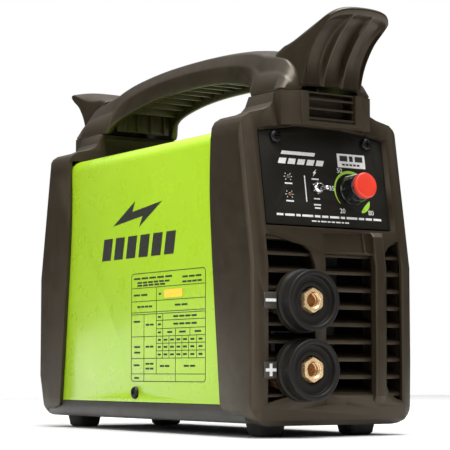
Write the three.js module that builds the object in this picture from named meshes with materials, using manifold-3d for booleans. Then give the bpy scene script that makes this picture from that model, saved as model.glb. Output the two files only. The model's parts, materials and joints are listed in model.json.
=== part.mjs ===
// Stick welding inverter in a carry case. Millimetres, +Z up, front facing -Y,
// origin on the floor under the middle of the machine.
import * as THREE from 'three';
import { mergeVertices } from 'three/addons/utils/BufferGeometryUtils.js';
import Module from 'manifold-3d';

const wasm = await Module();
wasm.setup();

// ---------------------------------------------------------------- driving dimensions
const GAP = 0.3; // clearance between touching pieces
const RADIAN = Math.PI / 180;

const shell = {
  halfWidth: 65,
  bottom: 7.5,
  top: 205,
  wall: 2.7,
  cornerRadius: 15,
  frontFace: 155, // how far the end faces stand from the middle
  lipDepth: 139.2, // where the chin's floor ends
};
const neck = { halfWidth: 36.7, top: 227.8, inner: 103, front: 150, faceHalfWidth: 24.3 };
const cover = { halfWidth: 62, bottom: 21, top: 204.5, sheet: 1.2, foldRadius: 10, halfLength: 119 };
const tray = { floor: 9, sheet: 1.6, halfLength: 138.6, flangeTop: 34, edgeRadius: 5 };
const foot = { x: 37, y: 126, width: 21, height: 8.7, taper: 1.4, edge: 1.8, stemRadius: 2.8, dimple: 3.4 };
const board = { underside: 20, thickness: 1.6, halfWidth: 54, halfLength: 94, spacerX: 48, spacerY: 86 };
const coverScrew = { y: 2, z: 27.5, headRadius: 4.3, headHeight: 2, shankRadius: 1.8 };

const panel = {
  tilt: 9, // degrees the control panel leans back
  foot: [0, -147.5, 139], // middle of the panel's lower edge, on its printed face
  halfWidth: 50.4,
  cornerHeight: 61.5,
  peakHeight: 66.5,
  peakHalfWidth: 18,
  thickness: 2,
  depth: 3, // how far the rim stands proud of the printed face
  border: 5,
};
const panelScrew = { x: 37.4, up: 58.7, headRadius: 4.2, headTop: 2.6, shankRadius: 1.7 };
const knob = {
  x: 20.8, up: 24.8, baseRadius: 10.3, topRadius: 8.9, bodyTop: 14, capTop: 18.4, restTurn: 28,
};
const toggle = { x: -7.9, up: 25, pivot: 1.5, lean: 12, bushRadius: 3, bushTop: 5.5, boreRadius: 2.25 };
const lamp = { x: -30, ups: [32, 20], radius: 1.5 };

const socket = {
  x: -27,
  heights: { minus: 88.2, plus: 43.6 },
  rim: -168.5, // front plane of the cup
  cupRadius: 19.9,
  cupInner: 16.2,
  cupFloor: -164.5,
  flangeRadius: 20.9,
  flangeFront: -157.6,
  barrelRadius: 11.4,
  barrelEnd: -138,
  boreRadius: 9,
  contactFront: -167,
  contactRadius: 8.3,
  plugRadius: 4.9,
  plugDepth: 22,
  contactEnd: -124,
};
const louvre = {
  pitch: 11.45,
  lowest: 27.2,
  count: 9,
  thickness: 1.9,
  slatFront: -151.1,
  slatBack: -139.2,
  slatRise: 4.7, // how much higher a slat's back edge is than its front
  frameFront: -148.2,
  frameBack: -137.2,
};
const neckVent = { halfWidth: 19.2, low: 207.6, front: -151, back: -138.5, slats: [222.6, 216.1, 209.6] };

const handle = { ribs: 13, ribThickness: 2, ribReach: 86, endWallAt: 101, endWallHalfWidth: 24 };
const horn = { halfWidth: 24, channelDepth: 5.5, seatGap: 0.6, shoulder: 7 };

const rear = { tilt: 9.7, foot: [0, 153, 115] }; // the rear face above its fan window
const fan = { x: 0, z: 74, y: 137, size: 80, depth: 25, bore: 37.6, rotor: 36.2, hub: 16, blades: 7 };
const rocker = { x: 20, up: 42, halfLength: 9, halfWidth: 5.2, pivot: 0.9, lean: 10 };
const gland = { x: -20, up: 40, threadRadius: 8, hexRadius: 12.5, bore: 4.6 };

const colours = {
  casing: [0x4b443c, 0.62, 0],
  sheetGreen: [0xa9d232, 0.35, 0.1],
  sheetBlack: [0x2a2926, 0.5, 0.3],
  panelBlack: [0x23211f, 0.5, 0],
  rubber: [0x161514, 0.85, 0],
  gloss: [0x0d0d0d, 0.2, 0],
  red: [0xf23a27, 0.3, 0],
  chrome: [0xc9c9c9, 0.15, 1],
  steel: [0x9a9a98, 0.35, 1],
  blackSteel: [0x1c1c1c, 0.4, 0.8],
  brass: [0xdca35a, 0.25, 1],
  copper: [0xc77b4a, 0.3, 1],
  aluminium: [0xb9bcc0, 0.35, 1],
  board: [0x1f5a34, 0.6, 0],
  ferrite: [0x33363a, 0.7, 0.1],
  tape: [0xd8a12c, 0.5, 0],
  sleeve: [0x1b2a5c, 0.4, 0],
  epoxy: [0x151515, 0.5, 0],
  lens: [0x8fd04a, 0.15, 0],
  amber: [0xe6a23c, 0.15, 0],
  fanBlack: [0x191919, 0.5, 0],
};

// ---------------------------------------------------------------- solids and their places
function solid(geometry) {
  const bare = geometry.clone();
  bare.deleteAttribute('normal');
  bare.deleteAttribute('uv');
  const merged = mergeVertices(bare, 1e-4);
  const vertProperties = new Float32Array(merged.attributes.position.array);
  const triVerts = new Uint32Array(merged.index.array);
  return new wasm.Manifold(new wasm.Mesh({ numProp: 3, vertProperties, triVerts }));
}

function toGeometry(manifold) {
  const mesh = manifold.getMesh();
  const geometry = new THREE.BufferGeometry();
  geometry.setAttribute('position', new THREE.BufferAttribute(new Float32Array(mesh.vertProperties), 3));
  geometry.setIndex(new THREE.BufferAttribute(new Uint32Array(mesh.triVerts), 1));
  geometry.computeVertexNormals();
  return geometry;
}

function combine(operation, first, others) {
  let result = solid(first);
  for (const other of others) {
    result = result[operation](solid(other));
  }
  return toGeometry(result);
}
const cut = (first, ...others) => combine('subtract', first, others);
const join = (first, ...others) => combine('add', first, others);
const meet = (first, ...others) => combine('intersect', first, others);

function reshape(geometry, move) {
  const position = geometry.attributes.position;
  const point = new THREE.Vector3();
  for (let i = 0; i < position.count; i += 1) {
    point.fromBufferAttribute(position, i);
    move(point);
    position.setXYZ(i, point.x, point.y, point.z);
  }
  geometry.computeVertexNormals();
  return geometry;
}

// Turns a solid inside out if its faces point in, as happens after a mirroring reshape.
function facingOut(geometry) {
  const position = geometry.attributes.position;
  const index = geometry.index ? Array.from(geometry.index.array) : [...Array(position.count).keys()];
  const [a, b, c] = [new THREE.Vector3(), new THREE.Vector3(), new THREE.Vector3()];
  let volume = 0;
  for (let i = 0; i < index.length; i += 3) {
    a.fromBufferAttribute(position, index[i]);
    b.fromBufferAttribute(position, index[i + 1]);
    c.fromBufferAttribute(position, index[i + 2]);
    volume += a.dot(b.cross(c));
  }
  if (volume < 0) {
    for (let i = 0; i < index.length; i += 3) {
      [index[i], index[i + 1]] = [index[i + 1], index[i]];
    }
    geometry.setIndex(index);
    geometry.computeVertexNormals();
  }
  return geometry;
}

const shapeOf = (points) => new THREE.Shape(points.map(([x, y]) => new THREE.Vector2(x, y)));

// Prisms along Z, Y and X: the outline is in XY, XZ and YZ.
function prismZ(outline, low, high) {
  const shape = outline.isShape ? outline : shapeOf(outline);
  const geometry = new THREE.ExtrudeGeometry(shape, { depth: high - low, bevelEnabled: false });
  return geometry.translate(0, 0, low);
}
function prismY(outline, low, high) {
  return prismZ(outline, 0, high - low).rotateX(90 * RADIAN).translate(0, high, 0);
}
const axesX = new THREE.Matrix4().makeBasis(
  new THREE.Vector3(0, 1, 0),
  new THREE.Vector3(0, 0, 1),
  new THREE.Vector3(1, 0, 0),
);
function prismX(outline, low, high) {
  return prismZ(outline, low, high).applyMatrix4(axesX);
}

function block(x, y, z) {
  const geometry = new THREE.BoxGeometry(x[1] - x[0], y[1] - y[0], z[1] - z[0]);
  return geometry.translate((x[0] + x[1]) / 2, (y[0] + y[1]) / 2, (z[0] + z[1]) / 2);
}

// A turned piece: [radius, height] pairs from the axis out and back, standing on Z.
function turned(profile, segments) {
  const points = profile.map(([radius, height]) => new THREE.Vector2(radius, height));
  return new THREE.LatheGeometry(points, segments).rotateX(90 * RADIAN);
}
// A plain round or regular-sided bar on Z from one height to another.
function bar(radius, low, high, sides) {
  const geometry = new THREE.CylinderGeometry(radius, radius, high - low, sides);
  return geometry.rotateX(90 * RADIAN).translate(0, 0, (low + high) / 2);
}
// The same bar lying along Y, at a place in XZ.
function barY(radius, low, high, sides, x, z) {
  return bar(radius, -high, -low, sides).rotateX(90 * RADIAN).translate(x, 0, z);
}
function barX(radius, low, high, sides, y, z) {
  return bar(radius, low, high, sides).rotateY(90 * RADIAN).translate(0, y, z);
}

// A symmetric closed outline from the points of its right-hand half, bottom to top.
function bothSides(right) {
  const left = right.filter(([x]) => x !== 0).map(([x, z]) => [-x, z]);
  return [...right, ...left.reverse()];
}

// Points of an arc, for use inside an outline.
function arc(x, y, radius, from, to, steps) {
  return Array.from({ length: steps + 1 }, (_, i) => {
    const angle = (from + ((to - from) * i) / steps) * RADIAN;
    return [x + radius * Math.cos(angle), y + radius * Math.sin(angle)];
  });
}

// A prism cut into lengths: station i holds whatever place() needs to set the points of cut i.
function loft(outline, stations, place) {
  const lengths = stations.length - 1;
  const options = { depth: lengths, steps: lengths, bevelEnabled: false };
  const geometry = new THREE.ExtrudeGeometry(shapeOf(outline), options);
  return facingOut(reshape(geometry, (point) => place(point, stations[Math.round(point.z)])));
}

const interpolate = (table, at) => {
  const last = table.length - 1;
  const k = Math.max(1, table.findIndex(([x]) => x >= at));
  const [low, high] = at >= table[last][0] ? [table[last - 1], table[last]] : [table[k - 1], table[k]];
  const share = THREE.MathUtils.clamp((at - low[0]) / (high[0] - low[0]), 0, 1);
  return low[1] + (high[1] - low[1]) * share;
};

// ---------------------------------------------------------------- the assembly
const machine = new THREE.Group();

function tiltedFrame(place, tilt, facing) {
  const frame = new THREE.Group();
  frame.position.set(...place);
  frame.rotation.order = 'ZXY';
  frame.rotation.z = facing * RADIAN;
  frame.rotation.x = (90 - tilt) * RADIAN;
  frame.updateMatrix();
  machine.add(frame);
  return frame;
}
// Local axes on the control panel and the rear face: +Y up the face, +Z straight out of it.
const panelFrame = tiltedFrame(panel.foot, panel.tilt, 0);
const rearFrame = tiltedFrame(rear.foot, rear.tilt, 180);
const onPanel = (geometry) => geometry.applyMatrix4(panelFrame.matrix);
const onRear = (geometry) => geometry.applyMatrix4(rearFrame.matrix);

function piece(name, geometry, [color, roughness, metalness], parent = machine) {
  const material = new THREE.MeshStandardMaterial({ color, roughness, metalness });
  const mesh = new THREE.Mesh(geometry, material);
  mesh.name = name;
  parent.add(mesh);
  return mesh;
}

// ---------------------------------------------------------------- end bezels
// Cross-section of the casing, with the shoulders that rise to the handle's neck.
const casingOutline = (inset) => {
  const { halfWidth, bottom, cornerRadius, top } = shell;
  const radius = cornerRadius - inset;
  return bothSides([
    ...arc(halfWidth - cornerRadius, bottom + cornerRadius, radius, -90, 0, 5),
    [halfWidth - inset, top - 8],
    [halfWidth - 0.8 - inset, top],
    [62.1 - inset, top + 3.7 - inset],
    [57.4 - inset, 211.7 - inset],
    [46.8 - inset, 214.4 - inset],
    [41.5 - inset, 216.9 - inset],
    [38.6 - inset, 220.5 - inset],
    [neck.halfWidth - inset, neck.top],
  ]);
};

// Plan of the end face: nearly flat, turned in at both corners.
const faceOutline = (inset) => [
  [-66, -80],
  [-66, -147.5 + inset],
  [-63.6 + inset / 2, -152.6 + inset],
  [-58, -154.7 + inset],
  [0, -shell.frontFace + inset],
  [58, -154.7 + inset],
  [63.6 - inset / 2, -152.6 + inset],
  [66, -147.5 + inset],
  [66, -80],
];

// [height, how far the end face has moved back there]
const frontLean = [
  [0, 14], [7.5, 6], [11, 2.6], [19.5, 0.8], [50, 0], [112.4, 0], [205, 14.7], [230, 18.7],
];
const rearLean = [[0, 20], [7.5, 13], [11, 10.5], [17, 8.5], [40, 2], [115, 2], [205, 17.4], [230, 21.7]];

const endFace = (lean, inset) =>
  loft(faceOutline(inset), lean, (point, [height, back]) => {
    point.z = height;
    point.y += back;
  });

// Side view of the bezel's flange: its inner edge bows over the cover and its foot slopes to the chin.
const flangeEdge = new THREE.SplineCurve([
  new THREE.Vector2(-102.8, 205),
  new THREE.Vector2(-101.4, 163),
  new THREE.Vector2(-105, 112),
  new THREE.Vector2(-114, 21),
]).getPoints(9).map(({ x, y }) => [x, y]);
const flangeOutline = [
  [-170, 0],
  [-170, neck.top],
  [-106, neck.top],
  [-neck.inner, 214],
  ...flangeEdge,
  [-117, 17],
  [-124.6, 15.4],
  [-146, 7.8],
  [-150, 0],
];

function bezel(lean) {
  const outside = meet(
    prismY(casingOutline(0), -170, -90),
    endFace(lean, 0),
    prismX(flangeOutline, -70, 70),
  );
  const neckFront = prismZ(
    bothSides([[neck.halfWidth, -125], [neck.halfWidth, -145], [neck.faceHalfWidth, -neck.front]]),
    shell.top - 0.5,
    neck.top,
  );
  const ventBox = block([-neck.faceHalfWidth, neck.faceHalfWidth], [-152, -140], [206, 227.4]);
  const below = cover.top + GAP;
  const room = meet(
    prismY(casingOutline(shell.wall), -170, -80),
    endFace(lean, shell.wall),
    block([-66, 66], [-170, -80], [shell.bottom + 3, below]),
  );
  const openFloor = block([-62.3, 62.3], [-shell.lipDepth, -80], [-1, 30]);
  const neckRoom = block([-33.5, 33.5], [-145.5, -109], [below - 5, neck.top + 1]);
  const vent = block([-neckVent.halfWidth, neckVent.halfWidth], [-160, -140], [neckVent.low, neck.top + 1]);
  const ribPocket = block([-32, 32], [-106.2, -90], [below + 1.5, neck.top - 3]);
  return cut(join(outside, neckFront, ventBox), room, openFloor, neckRoom, vent, ribPocket);
}

// Slatted openings in the lower half of the front face, in XZ.
const windows = [
  [[-54, 22.5], [-54, 131], [-50, 131], [-24, 124.6], [-19.5, 121], [-17, 112], [-17, 29], [-38, 26.5]],
  [[-8.5, 27.5], [-8.5, 119.8], [31, 119.8], [31, 27.5]],
  [[41.5, 33.5], [41.5, 121], [45, 125.6], [51, 129.8], [55, 130.5], [55, 23], [50, 24.5], [44, 28.5]],
];

// The panel's rim ends this far above the printed face, flaring by these amounts.
const rimTop = panel.depth + 1.2;
const rimFlare = { x: 1.055, y: 2 };

const printOutline = (grow) => {
  const { halfWidth, cornerHeight, peakHeight, peakHalfWidth } = panel;
  return bothSides([
    [halfWidth + grow, -0.6 - grow],
    [halfWidth + grow, cornerHeight + grow * 0.8],
    [peakHalfWidth, peakHeight + grow],
  ]);
};

// Upright ridge between the wide window and the narrow one: [X, share of how far it stands proud].
const ridgeSection = [[31, -0.85], [31, 0.75], [31.9, 1], [36.6, 1], [39, 0.8], [41.5, 0.1], [41.5, -0.85]];
const ridgeProud = 2.9;
const ridgeStations = [[22, 0.02], [26.5, 1], [50, 1], [112.4, 1], [132.4, 1], [135.6, 0.02]];
function frontRidge() {
  return loft(ridgeSection, ridgeStations, (point, [height, share]) => {
    const face = -shell.frontFace + interpolate(frontLean, height);
    const proud = point.y > 0 ? point.y * share : point.y;
    point.set(point.x, face - proud * ridgeProud, height);
  });
}

function frontBezel() {
  const { x, heights } = socket;
  const levels = Object.values(heights);
  const discs = levels.map((z) => barY(socket.flangeRadius, -175, -130, 32, x, z));
  const holes = levels.map((z) => barY(socket.barrelRadius + GAP, -175, -130, 24, x, z));
  const openings = windows.map((outline) => cut(prismY(outline, -175, -130), ...discs));
  const pads = levels.map((z) => block([-58.5, x - 16], [-155, -152.4], [z - 5.6, z + 5.6]));
  const ledge = onPanel(prismZ(printOutline(3.4), -6.4, 1));
  const pocket = onPanel(
    facingOut(
      reshape(prismZ(printOutline(0.4), -panel.thickness - GAP, rimTop), (point) => {
        if (point.z > 0) {
          point.x *= rimFlare.x;
          point.y += point.y > panel.cornerHeight / 2 ? rimFlare.y : -rimFlare.y;
        }
      }),
    ),
  );
  const clearance = onPanel(prismZ(printOutline(-panel.border), -30, 5));
  const screwHoles = [-1, 1].map((side) =>
    onPanel(bar(panelScrew.shankRadius + 0.35, -8, 5, 12).translate(side * panelScrew.x, panelScrew.up, 0)),
  );
  const scoop = (side) =>
    prismY([[side * 40, 17], [side * 8, 21], [side * 8, 26], [side * 30, 24]], -170, -153.9);
  const apronFoot = 121.5;
  const apron = cut(
    prismY([[-8.5, apronFoot], [-8.5, 133.6], [31.2, 134.6], [31.2, apronFoot]], -170, -151.9),
    prismY([[23.9, 136], [24.8, 121], [32, 118], [32, 120], [26.1, 122.6], [25.3, 136]], -171, -150),
  );
  const leanApron = reshape(apron, (point) => {
    point.y += (point.z - apronFoot) * Math.tan(panel.tilt * RADIAN);
  });
  const bosses = [-1, 1].map((side) =>
    onPanel(bar(5.6, -6.4, -panel.thickness - GAP, 16).translate(side * panelScrew.x, panelScrew.up, 0)),
  );
  const shellWithLedge = join(bezel(frontLean), ledge, frontRidge());
  const opened = cut(shellWithLedge, pocket, clearance, ...openings, leanApron);
  const scoops = [-1, 1].map((side) => facingOut(scoop(side)));
  return cut(join(opened, ...pads, ...bosses), ...holes, ...screwHoles, ...scoops);
}

const fanWindow = { halfWidth: 43, low: 33, high: 112, radius: 10 };
function roundedRectangle(halfWidth, low, high, radius) {
  return bothSides([
    ...arc(halfWidth - radius, low + radius, radius, -90, 0, 4),
    ...arc(halfWidth - radius, high - radius, radius, 0, 90, 4),
  ]);
}

function rearBezel() {
  const { halfWidth, low, high, radius } = fanWindow;
  const window = prismY(roundedRectangle(halfWidth, low, high, radius), -175, -125);
  const plain = cut(bezel(rearLean), window).rotateZ(180 * RADIAN);
  const rockerHole = onRear(
    block(
      [rocker.x - rocker.halfWidth - 1.6, rocker.x + rocker.halfWidth + 1.6],
      [rocker.up - rocker.halfLength - 1.6, rocker.up + rocker.halfLength + 1.6],
      [-12, 12],
    ),
  );
  const glandHole = onRear(bar(gland.threadRadius + GAP, -12, 12, 20).translate(gland.x, gland.up, 0));
  return cut(plain, rockerHole, glandHole);
}

piece('front_bezel', frontBezel(), colours.casing);
piece('rear_bezel', rearBezel(), colours.casing);

// ---------------------------------------------------------------- sheet cover, tray and feet
function coverSheet() {
  const { halfWidth, top, bottom, sheet, foldRadius, halfLength } = cover;
  const outer = arc(halfWidth - foldRadius, top - foldRadius, foldRadius, 0, 90, 5);
  const inner = arc(halfWidth - foldRadius, top - foldRadius, foldRadius - sheet, 0, 90, 5);
  const right = [[halfWidth, bottom], ...outer];
  const back = [...inner.reverse(), [halfWidth - sheet, bottom]];
  const mirror = (points) => points.map(([x, z]) => [-x, z]).reverse();
  const outline = [...right, ...mirror(right), ...mirror(back), ...back];
  const holes = barX(coverScrew.shankRadius + 0.4, -70, 70, 12, coverScrew.y, coverScrew.z);
  return cut(prismY(outline, -halfLength, halfLength), holes);
}
piece('cover', coverSheet(), colours.sheetGreen);

function trayPan() {
  const { floor, sheet, edgeRadius, halfLength, flangeTop } = tray;
  const edge = cover.halfWidth - 0.1;
  const flange = cover.halfWidth - cover.sheet - GAP;
  const outside = bothSides([
    ...arc(edge - edgeRadius, floor + edgeRadius, edgeRadius, -90, 0, 4),
    [edge, cover.bottom - GAP],
    [flange, cover.bottom - GAP],
    [flange, flangeTop],
  ]);
  const inside = bothSides([
    [flange - sheet - 4, floor + sheet],
    [flange - sheet, floor + sheet + 4],
    [flange - sheet, flangeTop + 5],
  ]);
  const holes = barX(coverScrew.shankRadius + 0.4, -70, 70, 12, coverScrew.y, coverScrew.z);
  const slots = [-45, -15, 15, 45].map((y) => block([-30, 30], [y - 3, y + 3], [0, floor + sheet + 1]));
  const stemHoles = [-1, 1].flatMap((end) =>
    [-1, 1].map((side) => bar(foot.stemRadius + GAP, 0, 20, 12).translate(side * foot.x, end * foot.y, 0)),
  );
  const spacer = bar(3.5, floor + sheet / 2, board.underside - GAP, 12);
  const spacers = [-1, 1].flatMap((end) =>
    [-1, 1].map((side) =>
      spacer.clone().translate(side * board.spacerX, end * board.spacerY, 0),
    ),
  );
  const pan = cut(
    prismY(outside, -halfLength, halfLength),
    prismY(inside, -halfLength - 1, halfLength + 1),
    holes,
    ...slots,
    ...stemHoles,
  );
  return join(pan, ...spacers);
}
piece('base_tray', trayPan(), colours.sheetBlack);

const padOutline = (half) => roundedRectangle(half, -half, half, 4);
function rubberFoot() {
  const half = foot.width / 2;
  const levels = [[0, foot.edge + foot.taper], [foot.edge, foot.taper], [foot.height, 0]];
  const pad = loft(padOutline(half), levels, (point, [height, inset]) => {
    const scale = (half - inset) / half;
    point.set(point.x * scale, point.y * scale, height);
  });
  const stem = bar(foot.stemRadius, foot.height - 1, tray.floor + 5, 12);
  const barb = bar(foot.stemRadius + 0.7, tray.floor + tray.sheet + GAP, tray.floor + 4, 12);
  const dimple = bar(foot.dimple, -1, 2.6, 16);
  return cut(join(pad, stem, barb), dimple);
}
for (const [end, y] of [['front', -foot.y], ['rear', foot.y]]) {
  for (const [side, x] of [['left', -foot.x], ['right', foot.x]]) {
    piece(`foot_${end}_${side}`, rubberFoot(), colours.rubber).position.set(x, y, 0);
  }
}

function sheetScrew() {
  const { headRadius, headHeight, shankRadius } = coverScrew;
  const start = cover.halfWidth + GAP;
  return turned(
    [
      [0, start - 7],
      [shankRadius, start - 7],
      [shankRadius, start],
      [headRadius, start],
      [headRadius, start + headHeight * 0.5],
      [headRadius * 0.72, start + headHeight],
      [0, start + headHeight],
    ],
    14,
  );
}
for (const [side, turn] of [['left', -90], ['right', 90]]) {
  const screw = piece(`cover_screw_${side}`, sheetScrew(), colours.blackSteel);
  screw.rotation.y = turn * RADIAN;
  screw.position.set(0, coverScrew.y, coverScrew.z);
}

// ---------------------------------------------------------------- louvres
// Slats across X, each rising from its front edge to its back edge.
function slats(halfWidth, heights, front, back, rise, thickness) {
  const half = thickness / 2;
  const section = (z) => [
    [front, z - half],
    [back, z - half + rise],
    [back, z + half + rise],
    [front, z + half],
  ];
  return heights.map((z) => prismX(section(z), -halfWidth, halfWidth));
}

function frontLouvres() {
  const { pitch, lowest, count, thickness, slatFront, slatBack, slatRise, frameFront, frameBack } = louvre;
  const heights = Array.from({ length: count }, (_, i) => lowest + i * pitch);
  const frame = cut(
    block([-58.5, 58.5], [frameFront, frameBack], [17.5, 131]),
    block([-56, 56], [frameFront - 1, frameBack + 1], [20, 128.5]),
  );
  const upright = (x) => block([x - 1, x + 1], [frameFront + 1, frameBack], [17.5, 131]);
  const uprights = [upright(-12.7), upright(36.2)];
  const rooms = Object.values(socket.heights).map((z) => barY(17, -170, -100, 24, socket.x, z));
  const full = slats(57, heights.slice(0, -1), slatFront, slatBack, slatRise, thickness);
  const highest = slats(57, heights.slice(-1), slatFront + 1.2, slatBack, slatRise, thickness);
  return cut(join(frame, ...uprights, ...full, ...highest), ...rooms);
}
piece('front_louvres', frontLouvres(), colours.casing);

// Louvre insert of the neck: an open box behind the vent with three slats.
function neckLouvres() {
  const { halfWidth, low, front, back } = neckVent;
  const outer = halfWidth - GAP;
  const walls = 1;
  const box = cut(
    block([-outer, outer], [front + 1, back], [low + GAP, neck.top - GAP]),
    block(
      [-outer + walls, outer - walls],
      [front, back - walls],
      [low + GAP + walls, neck.top - GAP - walls],
    ),
  );
  return join(box, ...slats(outer, neckVent.slats, front, front + 5, 1.2, 1.4));
}
piece('neck_louvres_front', neckLouvres(), colours.casing);
piece('neck_louvres_rear', neckLouvres(), colours.casing).rotation.z = 180 * RADIAN;

// ---------------------------------------------------------------- handle
// [distance from the middle, top, underside, half-width at the foot, half-width at the facet]
const handleStations = [
  [0, 271.4, 248.6, 24, 24], [25, 271.1, 248.1, 24, 24], [50, 270, 246.2, 24, 24],
  [75, 267.9, 242.4, 24.6, 24.2], [90, 265.6, 238.6, 27, 24.6], [98, 263.9, 233.6, 30.5, 25.4],
  [104, 262.4, 228.1, 33.2, 26.2], [118, 259.2, 228.1, 36, 28.6], [130, 255.6, 228.1, 36.7, 30.4],
  [137, 251.6, 228.1, 36.7, 31.2], [143, 245.6, 228.1, 36.7, 31.2], [146.6, 239, 228.1, 34.4, 30],
  [148.6, 233, 228.1, 28, 27.4],
];
const handleMirror = handleStations.slice(1).map(([y, ...rest]) => [-y, ...rest]);
const handleLine = [...handleMirror.reverse(), ...handleStations];

// Section of the handle as shares: across the half-width, and up from the underside to the top.
const handleSection = [
  [1, 0], [1, 0.5], [0.83, 0.86], [0.5, 0.96], [0, 1], [-0.5, 0.96], [-0.83, 0.86], [-1, 0.5], [-1, 0],
  [-0.82, 0], [-0.82, 0.45], [-0.62, 0.72], [0.62, 0.72], [0.82, 0.45], [0.82, 0],
];

function handleShell() {
  const skin = loft(handleSection, handleLine, (point, [y, top, under, footWidth, facetWidth]) => {
    const up = point.y;
    const half = up < 0.4 ? footWidth : facetWidth;
    point.set(point.x * half, y, under + (top - under) * up);
  });
  const line = (column) => handleLine.map((station) => [station[0], station[column]]);
  const ribPitch = (2 * handle.ribReach) / (handle.ribs - 1);
  const ribPositions = Array.from({ length: handle.ribs }, (_, i) => -handle.ribReach + ribPitch * i);
  const rib = (y, drop) => {
    const top = interpolate(line(1), y);
    const under = interpolate(line(2), y);
    const half = interpolate(line(4), y) * 0.86;
    const low = under + drop;
    const t = handle.ribThickness / 2;
    return block([-half, half], [y - t, y + t], [low, under + (top - under) * 0.75]);
  };
  const half = handle.endWallHalfWidth;
  const wall = (y) => block([-half, half], [y - 1.5, y + 1.5], [230.6, 251]);
  const walls = [wall(-handle.endWallAt), wall(handle.endWallAt)];
  return join(skin, ...ribPositions.map((y) => rib(y, 4)), ...walls);
}
piece('handle', handleShell(), colours.casing);

// ---------------------------------------------------------------- cable horns
// Side view of a horn in its middle, as [Y, Z]: back and tip, then the hollow front, then its seat.
const hornBack = [
  [-119, 259.9], [-128, 262.8], [-137, 266], [-146.5, 269.8], [-160, 274.4], [-174, 277.8],
  [-184, 279], [-188.8, 278.2],
];
const hornFront = [
  [-190, 276.8], [-188.4, 274.8], [-182, 270.2], [-172, 263], [-164.4, 255], [-158.4, 246.6],
  [-154.8, 238.6], [-152.6, 231],
];
const hornRoots = handleStations.slice(7).reverse();
const hornSeat = hornRoots.map(([y, top]) => [-y - horn.seatGap, top + horn.seatGap]);
const hornOutline = [...hornBack, ...hornFront, [-149.3, 231], ...hornSeat];

// How deep the hollow front lies at a place across the horn: a rib either side, channels between.
const channelProfile = [
  [0, 1], [5.5, 1], [7.2, 0.12], [8, 0], [8.8, 0.12], [11, 1], [19.5, 1], [22, 0.72], [24, 0.72],
];
const channelPlaces = channelProfile.map(([x]) => x);
const hornAcross = [...channelPlaces.slice(1).reverse().map((x) => -x), ...channelPlaces];

// How far the handle's crown has dropped at a share of its half-width, as a share of its height.
const crownDrop = [[0, 0], [0.5, 0.04], [0.83, 0.14], [1, 0.5]];
const among = (points, y, z) => points.some(([py, pz]) => Math.hypot(py - y, pz - z) < 0.01);

// dome: how far the tip's corners lie below its middle. sink: how much lower the whole tip lies.
function cableHorn(dome, sink) {
  const { halfWidth, channelDepth, seatGap, shoulder } = horn;
  const { clamp } = THREE.MathUtils;
  return loft(hornOutline, hornAcross, (point, across) => {
    const [y, z] = [point.x, point.y];
    const share = Math.abs(across) / halfWidth;
    const reach = clamp((-y - 150) / 40, 0, 1);
    const along = clamp((-y - 119) / 70, 0, 1);
    const corner = reach * (0.4 * share ** 2 + 0.6 * share ** 6);
    const rise = Math.sin(Math.PI * (0.12 + (0.8 * (z - 231)) / 48));
    const hollow = among(hornFront.slice(2), y, z) ? interpolate(channelProfile, Math.abs(across)) : 0;
    const depth = hollow * channelDepth * Math.max(0, rise);
    const crown = among(hornBack, y, z) ? shoulder * Math.sin(Math.PI * along) * share ** 4 : 0;
    const station = handleStations.find(([at]) => Math.abs(-at - seatGap - y) < 0.01);
    const onSeat = among(hornSeat, y, z);
    const crownShare = onSeat ? interpolate(crownDrop, Math.abs(across) / station[4]) : 0;
    const drop = onSeat ? crownShare * (station[1] - station[2]) * 0.9 : 0;
    const lowered = onSeat ? 0 : sink * along * clamp((z - 231) / 40, 0, 1);
    const fall = corner * dome + drop + crown + lowered;
    point.set(across, y + corner * 8 + depth * 0.86 + lowered * 0.6, z - fall + depth * 0.5);
  });
}
const horns = { front: { dome: 5.5, sink: 0, turn: 0 }, rear: { dome: 1.2, sink: 7.8, turn: 180 } };
for (const [end, { dome, sink, turn }] of Object.entries(horns)) {
  piece(`cable_horn_${end}`, cableHorn(dome, sink), colours.casing).rotation.z = turn * RADIAN;
}

// ---------------------------------------------------------------- control panel
function printedPlate() {
  const holes = [
    bar(4.7, -5, 5, 20).translate(knob.x, knob.up, 0),
    bar(toggle.bushRadius + GAP, -5, 5, 16).translate(toggle.x, toggle.up, 0),
    ...lamp.ups.map((up) => bar(lamp.radius + GAP, -5, 5, 12).translate(lamp.x, up, 0)),
    ...[-1, 1].map((side) =>
      bar(panelScrew.shankRadius + 0.35, -5, 5, 12).translate(side * panelScrew.x, panelScrew.up, 0),
    ),
  ];
  return cut(prismZ(printOutline(0), -panel.thickness, 0), ...holes);
}
piece('control_panel', printedPlate(), colours.panelBlack, panelFrame);

function panelScrewSolid() {
  const { headRadius, headTop, shankRadius } = panelScrew;
  return turned(
    [
      [0, -9],
      [shankRadius, -9],
      [shankRadius, GAP],
      [headRadius, GAP],
      [headRadius, 1.3],
      [headRadius * 0.65, headTop],
      [0, headTop],
    ],
    14,
  );
}
for (const [side, sign] of [['left', -1], ['right', 1]]) {
  const screw = piece(`panel_screw_${side}`, panelScrewSolid(), colours.blackSteel, panelFrame);
  screw.position.set(sign * panelScrew.x, panelScrew.up, 0);
}

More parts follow.
